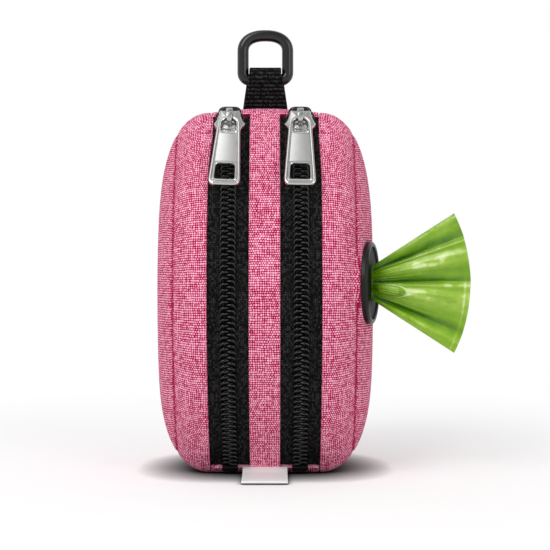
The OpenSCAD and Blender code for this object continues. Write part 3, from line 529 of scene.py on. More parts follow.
def shell(side_name, side):
    """Moulded half shell: cloth outside, over the rim and a little way in, then the lining."""
    edge = 0.38
    x = np.concatenate([np.arange(edge, GROOVE_X - 1.6, 0.8),
                        np.linspace(GROOVE_X - 1.5, GROOVE_X + 1.5, 13)])
    turns = list(np.degrees(np.arcsin(x / DOME_D)))
    first = shares_up(turns[-1])[1]
    shares = np.arange(first - 0.016, 0.012, -0.018)
    turns += list(np.degrees(np.arccos(shares ** (ROUND_BOTTOM / 2))))
    turns = np.array(turns)
    depth_y = arc_lengths(turns, BODY_D / 2, lambda t: max(math.cos(math.radians(t)), 0) ** (2 / ROUND_Y), DOME_D)
    depth_up = arc_lengths(turns, MID_Z, lambda t: shares_up(t)[0], DOME_D)
    depth_down = arc_lengths(turns, MID_Z, lambda t: shares_up(t)[1], DOME_D)
    n = len(OUTLINE)
    rings, uv_front, uv_side = [], [], []
    lift = OUTLINE[:, 1] - MID_Z
    for t, sy, su, sd in zip(turns, depth_y, depth_up, depth_down):
        out = DOME_D * math.sin(math.radians(t))
        press = GROOVE_D * math.exp(-((out - GROOVE_X) / GROOVE_W) ** 2)
        rings.append(dome_ring(OUTLINE, t, DOME_D, press))
        shrink = np.where(lift > 0, *shares_up(t)) ** 0.5
        uv_front.append(np.c_[np.full(n, sy), LENGTH[:-1] * shrink])
        uv_side.append(np.c_[-OUTLINE[:, 0] / (BODY_D / 2) * sy,
                             lift / MID_Z * np.where(lift > 0, su, sd)])
    outer = np.array(rings)[::-1]
    uv_front, uv_side = np.array(uv_front)[::-1], np.array(uv_side)[::-1]
    rim, uv_rim = [], []
    for a in (60, 30, 0):
        s, c = math.sin(math.radians(a)), math.cos(math.radians(a))
        p = outline_at(edge * (1 - s))
        ring = np.c_[np.full(n, RIM_X + edge * (1 - c)), p[:, 0], fallen(p[:, 1], 1.0)]
        rim.append(ring)
        uv_rim.append(uv_front[-1] + [edge * (2 - s), 0])
    for inset in (1.3, SHELL_T - edge):
        p = outline_at(inset)
        rim.append(np.c_[np.full(n, RIM_X), p[:, 0], fallen(p[:, 1], 1.0)])
        uv_rim.append(uv_front[-1] + [edge + inset, 0])
    inner_points = outline_at(SHELL_T)
    inner_d = DOME_D - SHELL_T
    rim.append(np.c_[np.full(n, RIM_X + edge), inner_points[:, 0], fallen(inner_points[:, 1], 1.0)])
    uv_rim.append(uv_front[-1] + [2 * edge + SHELL_T, 0])
    inner_turns = list(np.linspace(5, 50, 10)) + list(np.degrees(np.arccos(np.linspace(0.82, 0.04, 22) ** 1.6)))
    inner = [dome_ring(inner_points, t, inner_d) for t in inner_turns]
    inner_uv = np.array([np.c_[-inner_points[:, 0] * (1 - t / 120), lift * (1 - t / 150)] for t in inner_turns])
    rings = np.concatenate([outer, np.array(rim), np.array(inner)])
    uv_a = np.concatenate([uv_front, np.array(uv_rim), inner_uv])
    uv_b = np.concatenate([uv_side, np.array(uv_rim), inner_uv])
    crown_outer = np.array([[RIM_X + DOME_D, 0, MID_Z]])
    crown_inner = np.array([[RIM_X + inner_d, 0, MID_Z]])
    points, faces = loft(rings)
    total = len(points)
    points = np.concatenate([points, crown_outer, crown_inner])
    last = len(rings) - 1
    faces += [((i + 1) % n, i, total) for i in range(n)]
    faces += [(last * n + i, last * n + (i + 1) % n, total + 1) for i in range(n)]
    if side > 0:
        rel = points - GROM_AT
        high = rel @ GROM_OUT
        flat = rel - high[:, None] * GROM_OUT
        away = np.linalg.norm(flat, axis=1)
        blend = np.clip((away - 14.35) / 2.4, 0, 1)
        blend = blend * blend * (3 - 2 * blend)
        outside = np.zeros(len(points), bool)
        outside[:len(outer) * n] = True
        outside[total] = True
        near = (high > -8) & (points[:, 0] > 22) & (blend < 1)
        goal = np.where(outside, 0.0, -SHELL_T)
        move = np.where(near, (goal - high) * (1 - blend), 0)
        points = points + move[:, None] * GROM_OUT
        hole = near & (away < BARREL_R + 0.6)
        edge_ring = near & (away < BARREL_R + 1.5) & ~hole
        scale = np.where(edge_ring, (BARREL_R + 0.9) / np.maximum(away, 1), 1.0)
        points = points + flat * (scale - 1)[:, None]
        keep = [f for f in faces if not all(hole[i] or edge_ring[i] for i in f)]
    else:
        keep = faces
    near_zip = smooth((-points[:, 1] - 9.5) / 4) * smooth((points[:, 2] - 98) / 20)
    creep = (1.25 if side < 0 else 0.6) * near_zip * np.exp(-((points[:, 0] - RIM_X) / 5) ** 2)
    points = points * [side, 1, 1] - np.c_[creep * side, np.zeros((len(points), 2))]
    if side < 0:
        keep = [f[::-1] for f in keep]
    split = len(outer) * n
    groove_ring = int(np.argmin(np.abs(RIM_X + GROOVE_X - outer[:, 0, 0])))
    lining_from = (len(outer) + len(rim) - 1) * n
    uv_a = np.concatenate([uv_a.reshape(-1, 2), [[0, 0], [0, 0]]])
    uv_b = np.concatenate([uv_b.reshape(-1, 2), [[0, 0], [0, 0]]])
    # Painted shade along the groove, kept in the third weave value.
    groove_shade = np.exp(-((rings[:, 0, 0] - RIM_X - GROOVE_X) / 0.42) ** 2) * (np.arange(len(rings)) < len(outer))
    groove_shade = np.concatenate([np.repeat(groove_shade, n), [0, 0]])
    corner_uv = []
    lining = set()
    for k, f in enumerate(keep):
        on_side = min(f) < groove_ring * n and max(f) < split or total in f
        source = uv_b if on_side else uv_a
        columns = [i % n for i in f]
        wraps = max(columns) - min(columns) > n // 2 and max(f) < total
        for i in f:
            value = source[i]
            if wraps and i % n == 0 and not on_side:
                shrink = source[i + n - 1][1] / LENGTH[n - 1] if i + n - 1 < total else 1
                value = (value[0], LENGTH[n] * shrink)
            corner_uv.append((*value, groove_shade[i]))
        if min(f) >= lining_from or total + 1 in f:
            lining.add(k)
    piece = add_piece(side_name + "_shell_cover", points, keep, M["cloth"], side_name + "_shell",
                      [side_name + "_shell"], corner_weave=corner_uv, second=(M["lining"], lining))


for name, side in SIDES:
    shell(name, side)


# ---------------------------------------------------------------- sewn centre: band, gusset, divider, tapes

def sweep(stations, sections):
    """Closed band: at each station (point and outward normal in the plane of Y and Z), a closed
    section of (x, depth below the outline)."""
    rings = []
    for (p, outward), section in zip(stations, sections):
        section = np.asarray(section, float)
        rings.append(np.c_[section[:, 0], p[0] - outward[0] * section[:, 1], p[1] - outward[1] * section[:, 1]])
    return loft(rings, cap_start=True, cap_end=True)


def track(angles):
    """Stations on the front arc, by angle above the middle."""
    out = []
    for a in np.radians(angles):
        outward = np.array([-math.cos(a), math.sin(a)])
        out.append((np.array([TRACK_Y, MID_Z]) + outward * TRACK_R, outward))
    return out


def rolled(x0, x1, top, bottom, r=0.4, steps=3, across=1.2):
    """Section of a strip with rolled upper edges, walked right round."""
    a = np.radians(np.linspace(0, 90, steps + 1))
    left = np.c_[x0 + r - r * np.cos(a), top + r - r * np.sin(a)]
    right = np.c_[x1 - r + r * np.sin(a), top + r - r * np.cos(a)]
    n = max(int((x1 - x0) / across), 1)
    face = np.c_[np.linspace(x0 + r, x1 - r, n + 1)[1:-1], np.full(n - 1, top)]
    return np.concatenate([left, face, right, [[x1, bottom], [x0, bottom]]])


def strip_weave(points, section_count, lengths, section):
    """Weave coordinates of a swept strip: across in X, along its length."""
    n = len(section)
    u = np.tile(np.asarray(section)[:, 0] + np.asarray(section)[:, 1] * np.sign(np.asarray(section)[:, 0]), section_count)
    v = np.repeat(lengths, n)
    return np.c_[u, v]


def centre_band():
    angles = np.linspace(-SEAM_A, SEAM_A, 141)
    section = rolled(-BAND_W / 2, BAND_W / 2, 0.0, BAND_FACE_T, r=0.45)
    core = BAND_W / 2 - TAPE_TUCK
    section = np.concatenate([section[:-1], [[core, BAND_FACE_T], [core, BAND_FACE_T + BAND_CORE_T],
                                             [-core, BAND_FACE_T + BAND_CORE_T], [-core, BAND_FACE_T]],
                              section[-1:]])
    points, faces = sweep(track(angles), [section] * len(angles))
    uv = strip_weave(points, len(angles), np.radians(angles) * TRACK_R, section)
    piece = add_piece("centre_band_cover", points, faces, M["cloth"], "centre", ["centre_band"],
                      weave=uv, sharp=50)


def rear_gusset():
    wedge = math.radians(SEAM_A)
    front = (TRACK_Y - OUTLINE[:, 0]) > 1e-6
    angle = np.arctan2(np.abs(OUTLINE[:, 1] - MID_Z), TRACK_Y - OUTLINE[:, 0])
    inside = front & (angle < wedge) & (OUTLINE[:, 0] < 0)
    order = np.where(~inside)[0]
    jump = int(np.argmax(np.diff(order))) + 1
    order = np.concatenate([order[jump:], order[:jump]])
    stations = [(OUTLINE[i], OUTWARD[i]) for i in order]
    high, low = track([SEAM_A, -SEAM_A])
    stations = [high] + stations + [low]
    half = RIM_X - PART_GAP
    section = rolled(-half, half, 0.0, GUSSET_T, r=0.28, across=1.5)
    points, faces = sweep(stations, [section] * len(stations))
    points[:, 2] = fallen(points[:, 2], points[:, 0] / RIM_X)
    spots = np.array([p for p, _ in stations])
    lengths = np.concatenate([[0], np.cumsum(np.linalg.norm(np.diff(spots, axis=0), axis=1))])
    lengths += math.radians(SEAM_A) * TRACK_R
    uv = strip_weave(points, len(stations), lengths, section)
    inner_row = len(section) - 2
    lining = {a * len(section) + inner_row for a in range(len(stations) - 1)}
    piece = add_piece("rear_gusset_cover", points, faces, M["cloth"], "centre", ["rear_gusset"],
                      weave=uv, sharp=50, second=(M["lining"], lining))


def back_seam(name, side):
    """Cloth strip inside the spine, where the shell is sewn on: the sewn join stays closed as the shell bends open."""
    low, high, near, far = 24.5, 101.5, BODY_D / 2 - 0.9, BODY_D / 2 - 1.6
    section = np.array([(RIM_X - 1.3, near), (RIM_X + 1.5, near), (RIM_X + 1.5, far), (RIM_X - 1.3, far)])
    if side < 0:
        section = section[::-1] * [-1, 1]
    points, faces = loft([np.c_[section, np.full(4, z)] for z in (low, high)], cap_start=True, cap_end=True)
    add_piece(name + "_back_seam", points, faces, M["cloth"], "centre", weave=points[:, [0, 2]], sharp=30)


def divider():
    """Panel between the compartments: a stitched border and slightly fuller middle."""
    ring = outline_at(GUSSET_T)
    middle = np.array([TRACK_Y, MID_Z])
    limit = TRACK_R - BAND_FACE_T - BAND_CORE_T
    rel = ring - middle
    away = np.linalg.norm(rel, axis=1)
    ring = np.where((away > limit)[:, None] & (ring[:, :1] < 5), middle + rel * (limit / away)[:, None], ring)
    centre = np.array([2.0, MID_Z])
    shares = [1.0, 0.97, 0.945, 0.93, 0.9, 0.8, 0.65, 0.5, 0.35, 0.2, 0.06]
    half = [0.55, 0.75, 0.5, 0.7, 0.8, 0.8, 0.8, 0.8, 0.8, 0.8, 0.8]
    rings = []
    for s, h in list(zip(shares, half))[::-1]:
        rings.append(np.c_[np.full(len(ring), h), centre + (ring - centre) * s])
    for s, h in zip(shares, half):
        rings.append(np.c_[np.full(len(ring), -h), centre + (ring - centre) * s])
    points, faces = loft(rings, cap_start=True, cap_end=True)
    add_piece("divider_cloth", points, faces, M["lining"], "centre", ["divider_panel"],
              weave=points[:, 1:], sharp=60)


def parting(place, tip=0.9, full=4.6, half=1.75):
    """How far each tape's edge is drawn aside, by the place along the slider."""
    return np.interp(place, [tip - SLIDER_GAP, full], [0.0, half]) * (np.asarray(place) > tip - SLIDER_GAP)


def tapes():
    angles = np.concatenate([np.linspace(-ZIP_A, 30, 90, endpoint=False), np.linspace(30, ZIP_A, 40)])
    place = np.radians(angles - SLIDER_A) * TAPE_R
    aside = parting(place)
    for name, side in SIDES:
        for kind, body in (("inner", "centre"), ("outer", name + "_shell")):
            sections = []
            for d in aside:
                if kind == "inner":
                    x0, x1 = BAND_W / 2 - TAPE_TUCK, ZIP_X - TAPE_SLIT / 2 - max(d - TAPE_SLIT / 2, 0)
                else:
                    x0, x1 = ZIP_X + TAPE_SLIT / 2 + max(d - TAPE_SLIT / 2, 0), RIM_X
                xs = np.linspace(x0, x1, 9)
                top = BAND_FACE_T + 0.05 * (1 - np.cos(np.linspace(0, 2 * np.pi, 9)))
                sections.append(np.concatenate([np.c_[xs, top], [[x1, BAND_FACE_T + TAPE_T], [x0, BAND_FACE_T + TAPE_T]]]))
            points, faces = sweep(track(angles), sections)
            uv = np.c_[points[:, 0], np.repeat(np.radians(angles) * TAPE_R, len(sections[0]))]
            points = points * [side, 1, 1]
            if side < 0:
                faces = [f[::-1] for f in faces]
            add_piece(f"{name}_{kind}_tape_cloth", points, faces, M["tape"], body,
                      [f"{name}_{kind}_tape"], weave=uv, sharp=50)


def coil_shift(place):
    tip = TOOTH_CROSS + SLIDER_GAP
    return np.interp(place, [-3.5, 0.4, 4.6], [0.0, tip, tip + 1.45])


def coils():
    wire = 0.37
    steps, sides = ((20, 8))
    pitch_a = math.degrees(TOOTH_PITCH / COIL_R)
    count = int(2 * ZIP_A / pitch_a) - 1
    phi = np.linspace(-np.pi, np.pi, steps, endpoint=False)
    lead = np.clip((phi / np.radians(75) + 1) / 2, 0, 1)
    lead = lead * lead * (3 - 2 * lead)
    for name, side in SIDES:
        for kind, body, way, phase in (("inner", "centre", -1, -0.25), ("outer", name + "_shell", 1, 0.25)):
            turn = np.repeat(np.arange(count), steps)
            along = (turn - (count - 1) / 2 + phase + np.tile(lead, count) - 0.5) * pitch_a
            around = np.tile(phi, count)
            across = 1.05 + (1.65 - wire) * np.cos(around)
            high = 1.1 + (1.1 - wire) * np.sin(around) * (1 + 0.12 * np.cos(around))
            shift = coil_shift(np.radians(along - SLIDER_A) * COIL_R)
            x = ZIP_X + way * (across + shift)
            a = np.radians(along)
            r = TAPE_R + high
            line = np.c_[x, TRACK_Y - r * np.cos(a), MID_Z + r * np.sin(a)] * [side, 1, 1]
            up = np.c_[np.zeros(len(a)), np.sin(a), np.cos(a)]
            points, faces = tube(line, wire, sides, up=up)
            parts = [(points, faces)]
            cord_x = ZIP_X + way * (1.35 + coil_shift(np.radians(np.linspace(-ZIP_A, ZIP_A, 160) - SLIDER_A) * COIL_R))
            ca = np.radians(np.linspace(-ZIP_A, ZIP_A, 160))
            cr = TAPE_R + 1.02
            cord = np.c_[cord_x, TRACK_Y - cr * np.cos(ca), MID_Z + cr * np.sin(ca)] * [side, 1, 1]
            parts.append(tube(cord, 0.4, 8, up=np.c_[np.zeros(160), np.sin(ca), np.cos(ca)]))
            points, faces = join(parts)
            add_piece(f"{name}_{kind}_coil_wire", points, faces, M["coil"], body,
                      [f"{name}_{kind}_coil"])


centre_band()
rear_gusset()
for name, side in SIDES:
    back_seam(name, side)
divider()
tapes()
coils()


# ---------------------------------------------------------------- sliders and pulls

def at_track(points, angle):
    """Points drawn at the front of the arc, moved up it by an angle in degrees."""
    a = math.radians(angle)
    p = np.asarray(points, float)
    y, z = p[..., 1], p[..., 2]
    return np.stack([p[..., 0], TRACK_Y + y * math.cos(a) + z * math.sin(a),
                     MID_Z - y * math.sin(a) + z * math.cos(a)], -1)


def rounded_path(corners, steps=8):
    """Closed path through corners (x, z, radius)."""
    out = []
    n = len(corners)
    for i, (x, z, r) in enumerate(corners):
        p = np.array([x, z], float)
        a = np.array(corners[i - 1][:2], float) - p
        b = np.array(corners[(i + 1) % n][:2], float) - p
        la, lb = np.linalg.norm(a), np.linalg.norm(b)
        a, b = a / la, b / lb
        half = math.acos(np.clip(a @ b, -1, 1)) / 2
        cut = min(r / max(math.tan(half), 1e-6), la * 0.49, lb * 0.49)
        for t in np.linspace(0, 1, steps):
            out.append(p + a * cut * (1 - t) ** 2 + b * cut * t ** 2)
    return np.array(out)


def offset_path(path, distance):
    """Closed path moved to its left by a distance."""
    along = unit(np.roll(path, -1, 0) - np.roll(path, 1, 0))
    return path + np.c_[-along[:, 1], along[:, 0]] * distance


def flat_plate(loops, y_front, y_back, bevel):
    """Plate in X and Z with holes and rounded edges, as (points, faces). loops[0] is the outside."""
    data = bpy.data.curves.new("plate", "CURVE")
    data.dimensions = "2D"
    data.fill_mode = "BOTH"
    data.extrude = (y_back - y_front) / 2 - bevel
    data.bevel_depth = bevel
    data.bevel_resolution = 2
    data.offset = -bevel
    for loop in loops:
        spline = data.splines.new("POLY")
        spline.points.add(len(loop) - 1)
        flat = np.zeros((len(loop), 4))
        flat[:, :2] = loop
        flat[:, 3] = 1
        spline.points.foreach_set("co", flat.ravel())
        spline.use_cyclic_u = True
    holder = bpy.data.objects.new("plate", data)
    bpy.context.scene.collection.objects.link(holder)
    bpy.context.view_layer.update()
    made = bpy.data.meshes.new_from_object(holder.evaluated_get(bpy.context.evaluated_depsgraph_get()))
    points = np.array([v.co for v in made.vertices])
    faces = [tuple(p.vertices) for p in made.polygons]
    bpy.data.objects.remove(holder)
    bpy.data.curves.remove(data)
    bpy.data.meshes.remove(made)
    middle = (y_front + y_back) / 2
    return np.c_[points[:, 0], middle - points[:, 2], points[:, 1]], [f[::-1] for f in faces]


def rim(path, y, width, height):
    """Raised rounded rim on a plate's face, along a closed path in X and Z."""
    line = np.c_[path[:, 0], np.full(len(path), y), path[:, 1]]
    return tube(line, width, 10, closed=True, up=(0, -1, 0), squash=height / width)


def pull(name, side, lean):
    """Pull: a plate with a satin panel, raised rims round its edge, eye and window, and a round bar."""
    half, end, bar = PULL_TOP_W / 2, PULL_END_W / 2, PULL_T / 2
    arch_z, low = bar - half, -PULL_L
    arch = [(half * math.cos(a), arch_z + half * math.sin(a)) for a in np.linspace(0.12, math.pi - 0.12, 33)]
    lower = rounded_path([(-half, arch_z, 0.1), (-end, low, 2.6), (end, low, 2.6), (half, arch_z, 0.1)], 10)
    outer = np.array(arch + [tuple(p) for p in lower[10:30]])
    eye_l, top = 5.85, -0.45
    eye = [(2.55 * math.cos(a), top - 2.45 + 2.45 * math.sin(a)) for a in np.linspace(0.0, math.pi, 21)]
    eye += [tuple(p) for p in rounded_path([(2.55, -3.2, 0.1), (-2.55, -3.2, 0.1), (-2.65, top - eye_l, 1.5),
                                            (2.65, top - eye_l, 1.5)], 9)[18:]]
    eye = np.array(eye)
    wz, wl = low + 2.05, 6.5
    window = rounded_path([(3.15, wz + wl, 1.7), (-3.15, wz + wl, 1.7), (-3.4, wz, 0.9), (3.4, wz, 0.9)], 8)
    face = -bar + 0.38
    plate = flat_plate([outer, eye[::-1], window[::-1]], face, bar, 0.22)
    edge_in = offset_path(outer, 0.5)
    parts = [rim(edge_in, face + 0.02, 0.5, 0.4),
             rim(offset_path(window, -0.36), face - 0.05, 0.38, 0.4),
             rim(offset_path(eye, -0.32), face + 0.02, 0.36, 0.38)]
    shine = join([plate] + parts)
    lean_a, slope = math.radians(lean), math.radians(PULL_SLOPE)

    def put(points):
        p = np.asarray(points, float)
        x = p[:, 0] * math.cos(lean_a) + p[:, 2] * math.sin(lean_a)
        z = -p[:, 0] * math.sin(lean_a) + p[:, 2] * math.cos(lean_a)
        y = p[:, 1]
        ys = y * math.cos(slope) - z * math.sin(slope)
        zs = y * math.sin(slope) + z * math.cos(slope)
        return at_track(np.c_[x + side * ZIP_X, ys - BAR_Y, zs + BAR_Z], SLIDER_A)

    points, faces = shine
    body = add_piece(name + "_pull_frame", put(points), faces, M["metal"], name + "_pull",
                     [name + "_pull"], sharp=35)
    t = np.linspace(0, 1, 2)
    z0, z1 = top - eye_l - 0.75, wz + wl + 0.85
    w0 = half - 1.35 + (end - half) * (-z0) / PULL_L
    w1 = half - 1.35 + (end - half) * (-z1) / PULL_L
    rows = []
    for s in np.linspace(0, 1, 9):
        w, z = w0 + (w1 - w0) * s, z0 + (z1 - z0) * s
        xs = np.linspace(-w, w, 13)
        rows.append(np.c_[xs, face - 0.03 - 0.16 * (1 - (xs / w) ** 2), np.full(13, z)])
    top_rows = np.array(rows)
    under = top_rows + [0, 0.12, 0]
    ring = [np.concatenate([a, b[::-1]]) for a, b in zip(top_rows, under)]
    points, faces = loft(ring, cap_start=True, cap_end=True)
    panel = add_piece(name + "_pull_panel", put(points), faces, M["satin"], name + "_pull", sharp=40)
    return body, panel


NOSE_Z = 6.75
PLAN_Z = (-6.75, -5.9, -4.0, -2.5, -0.85, 0.45, 0.9, 1.35, 2.6, 4.7, 6.2, 6.75)
PLAN_W = (3.1, 3.5, 3.62, 3.8, 4.35, 5.05, 5.25, 4.95, 4.3, 3.75, 3.6, 3.25)
CHANNEL_R, BASE_R = COIL_R + SLIDER_GAP, TAPE_R - TAPE_T - SLIDER_GAP


def slider_width(z):
    return np.interp(z, PLAN_Z, PLAN_W)


def crown_height(x, z):
    """Top of the slider's crown: lower towards its wings and ends, rounded at its edge, with the pawl's slot."""
    across = CROWN_R - 14 + np.sqrt(14 ** 2 - x ** 2)
    along = CROWN_R - 42 + np.sqrt(42 ** 2 - (z - 1) ** 2)
    edge = np.minimum((slider_width(z) - np.abs(x)) * 0.9, NOSE_Z - np.abs(z))
    r = 0.5
    near = np.clip(r - edge, 0, r)
    top = np.minimum(across, along) - (r - np.sqrt(r ** 2 - near ** 2))
    slot = np.clip((0.75 * (z + 1.75) - np.abs(x)) / 0.25, 0, 1) * np.clip((0.8 - z) / 0.3, 0, 1)
    rear = np.clip((0.6 - np.abs(z + 3.0 - 0.1 * x ** 2)) / 0.2, 0, 1) * np.clip((2.4 - np.abs(x)) / 0.3, 0, 1)
    return top - 0.75 * np.maximum(slot, rear)


def slab(zs, low, high, r0, r1):
    """Bar along the track between two distances from its centre; low and high give its sides at each z."""
    rings = []
    for z in zs:
        a, b = low(z), high(z)
        rings.append([(a, -r1, z), (b, -r1, z), (b, -r0, z), (a, -r0, z)])
    rings = np.array(rings)
    rings[..., 1] = -np.sqrt(rings[..., 1] ** 2 - rings[..., 2] ** 2)
    return loft(rings, cap_start=True, cap_end=True)


def slider(name, side):
    """Slider body: a crowned top plate, a base plate, a wedge between them and two guides."""
    ends = NOSE_Z * np.array([1, 0.995, 0.985, 0.965, 0.94])
    rows = np.concatenate([-ends, np.linspace(-6.1, 6.1, 62), ends[::-1]])
    t = np.linspace(-1, 1, 61)
    t = np.sign(t) * (1 - (1 - np.abs(t)) ** 1.35)
    rings = []
    for z in rows:
        x = slider_width(z) * t
        floor = np.sqrt(CHANNEL_R ** 2 - z ** 2)
        top = np.maximum(crown_height(x, z), floor + 0.15)
        rings.append(np.concatenate([np.c_[x, -top, np.full(len(x), z)],
                                     np.c_[x[::-1], np.full(len(x), -floor), np.full(len(x), z)]]))
    crown = loft(rings, cap_start=True, cap_end=True)
    zs = np.linspace(-NOSE_Z, NOSE_Z, 28)
    base = slab(zs, lambda z: 0.3 - slider_width(z), lambda z: slider_width(z) - 0.3, BASE_R - 1, BASE_R)
    rear = np.linspace(-NOSE_Z, 0.5, 16)
    guides = [slab(rear, lambda z: slider_width(z) - 0.55, slider_width, TAPE_R + SLIDER_GAP, CHANNEL_R + 0.1),
              slab(rear, lambda z: -slider_width(z), lambda z: 0.55 - slider_width(z), TAPE_R + SLIDER_GAP,
                   CHANNEL_R + 0.1)]
    wide = lambda z: np.interp(z, (0.9, 4.6), (0.25, 1.45))
    wedge = slab(np.linspace(0.9, NOSE_Z - 0.4, 12), lambda z: -wide(z), wide, BASE_R - 0.5, CHANNEL_R + 0.4)
    points, faces = join([crown, base] + guides + [wedge])
    points = at_track(points + [side * ZIP_X, 0, 0], SLIDER_A)
    add_piece(name + "_slider_body", points, faces, M["cast"], name + "_slider",
              [name + "_slider"], sharp=40)


def bridge(name, side):
    """Lug at the nose and polished bridge over the pull's bar, with a notch between them."""
    outline = np.array([(92.0, 5.55), (94.1, 5.55), (94.75, 5.35), (95.15, 4.85), (95.25, 4.2), (95.25, 3.6),
                        (93.9, 3.55), (93.9, 2.98), (95.55, 2.9), (95.85, 2.8), (96.0, 2.3), (96.02, 1.5),
                        (95.9, 0.8), (95.55, 0.2), (95.0, -0.25), (94.2, -0.55), (93.2, -0.7), (92.0, -0.75)])
    turn = np.linspace(0, np.pi, 13)
    hole = np.concatenate([np.c_[BAR_Y + 1.05 * np.cos(turn), 1.95 + 1.05 * np.sin(turn)],
                           np.c_[BAR_Y - 1.05 * np.cos(turn), 1.1 - 1.05 * np.sin(turn)]])
    points, faces = flat_plate([outline, hole], -1.25, 1.25, 0.24)
    width = np.interp(points[:, 2], (-0.8, 0.4, 2.8, 3.6, 5.5), (0.55, 0.75, 0.98, 0.92, 0.92))
    points = np.c_[points[:, 1] * width, -points[:, 0], points[:, 2]]
    points = at_track(points + [side * ZIP_X, 0, 0], SLIDER_A)
    add_piece(name + "_bridge_cover", points, faces, M["lug"], name + "_slider",
              [name + "_bridge"], sharp=40)


def top_stop(name, side):
    """Black bar that holds the tapes together at the zip's upper end."""
    x = np.linspace(-1, 1, 33)
    ease = np.abs(x) ** 5
    line = np.c_[3.85 * x + side * ZIP_X, -(CROWN_R - 0.45 - 1.6 * ease), np.full(33, NOSE_Z + 0.6) - 0.6 * ease]
    radius = 0.62 * (1 - np.abs(x) ** 10) + 0.1
    points, faces = tube(at_track(line, SLIDER_A), radius, 12)
    add_piece(name + "_top_stop", points, faces, M["coil"], "centre", sharp=60)


def bottom_stop(name, side):
    """Black block that clamps the ends of both coils at the zip's lower end."""
    outline = rounded_path([(2.72, 1.2, 0.3), (-2.72, 1.2, 0.3), (-2.66, -1.2, 1.1), (2.66, -1.2, 1.1)], 6)
    points, faces = flat_plate([outline], -(COIL_R + 0.05), -(TAPE_R + 0.1), 0.4)
    add_piece(name + "_bottom_stop", at_track(points + [side * ZIP_X, 0, 0], -ZIP_A), faces, M["rubber"], "centre",
              sharp=50)


for name, side in SIDES:
    pull(name, side, 2.6 if side < 0 else 0.9)
    slider(name, side)
    bridge(name, side)
    top_stop(name, side)
    bottom_stop(name, side)


# ---------------------------------------------------------------- webbing, ring, label tab

RING_Z, RING_BAR = BODY_H + 11.1, 4.0
WEB_T, WEB_SLACK = 1.7, 0.8


def webbing():
    """Folded webbing: a strip round the ring's lower bar, with cross ribs."""
    eye = RING_BAR / 2 + WEB_SLACK + WEB_T / 2
    root_y, root_z = 1.0, BODY_H + 0.15
    rise = RING_Z - root_z
    lean = math.atan2(eye - root_y, rise)
    reach = math.sqrt(rise ** 2 + (eye - root_y) ** 2)
    turn = math.acos(eye / reach)
    start = math.pi + (math.pi / 2 - lean) - turn
    touch = np.array([eye * math.cos(start), RING_Z + eye * math.sin(start)])
    if touch[0] > 0:
        touch[0] = -touch[0]
    a0 = math.atan2(touch[1] - RING_Z, touch[0])
    up = run([-root_y, root_z], touch, 40)
    angles = np.linspace(a0 % (2 * math.pi), math.pi - (a0 % (2 * math.pi)), 61)
    over = np.c_[eye * np.cos(angles), RING_Z + eye * np.sin(angles)]
    down = run([-touch[0], touch[1]], [root_y, root_z], 40)
    line = np.concatenate([up, over, down, [[root_y, root_z]]])
    gaps = np.linalg.norm(np.diff(line, axis=0), axis=1)
    length = np.concatenate([[0], np.cumsum(gaps)])
    fine = np.arange(0, length[-1], 0.17)
    line = np.c_[np.interp(fine, length, line[:, 0]), np.interp(fine, length, line[:, 1])]
    along = unit(np.gradient(line, axis=0))
    normal = np.c_[-along[:, 1], along[:, 0]]
    width = np.interp(line[:, 1], [BODY_H, BODY_H + 1.5, RING_Z - 2.4, RING_Z - 0.6, RING_Z + 1.4],
                      [15.9, 15.6, 13.4, 12.3, 11.3]) / 2
    rib = 0.5 - 0.5 * np.cos(2 * np.pi * fine / 1.38)
    rings = []
    for p, n, w, r in zip(line, normal, width, rib):
        top, low = WEB_T / 2 - 0.34 + 0.34 * r, -WEB_T / 2 + 0.1
        xs = np.concatenate([[-w + 0.05], np.linspace(-w + 0.35, w - 0.35, 21), [w - 0.05]])
        lift = np.full(len(xs), top)
        lift[[0, -1]] -= 0.35
        upper = np.c_[xs, p[0] + n[0] * lift, p[1] + n[1] * lift]
        lower = np.c_[xs[::-1], np.full(len(xs), p[0] + n[0] * low), np.full(len(xs), p[1] + n[1] * low)]
        rings.append(np.concatenate([upper, lower]))
    points, faces = loft(rings, cap_start=True, cap_end=True)
    count = len(rings[0])
    uv = np.c_[points[:, 0], np.repeat(fine, count)]
    strap = add_piece("webbing_strap", points, faces, M["webbing"], "webbing", ["webbing_loop"],
                      weave=uv, sharp=60)


def hanging_ring():
    """Square ring with an arched top, moulded round."""
    half, low, r = (19.7 - RING_BAR) / 2, RING_Z, 2.6
    high = RING_Z + 19.7 - RING_BAR
    arch_b = 5.6
    t = np.linspace(0, math.pi, 61)
    power = 2 / 2.35
    arch = np.c_[half * np.sign(np.cos(t)) * np.abs(np.cos(t)) ** power,
                 high - arch_b + arch_b * np.abs(np.sin(t)) ** power]
    left = run([-half, high - arch_b], [-half, low + r], 12)
    corner_l = arc(-half + r, low + r, r, 180, 270, 12)
    base = run([-half + r, low], [half - r, low], 12)
    corner_r = arc(half - r, low + r, r, 270, 360, 12)
    right = run([half, low + r], [half, high - arch_b], 12)
    path = np.concatenate([arch[:-1], left, corner_l, base, corner_r, right])
    keep = [True] + [np.linalg.norm(path[i] - path[i - 1]) > 0.05 for i in range(1, len(path))]
    path = path[keep]
    line = np.c_[path[:, 0], np.zeros(len(path)), path[:, 1]]
    points, faces = tube(line, RING_BAR / 2, 24, closed=True, up=(0, -1, 0))
    add_piece("ring_moulding", points, faces, M["ring"], "ring", ["ring"])


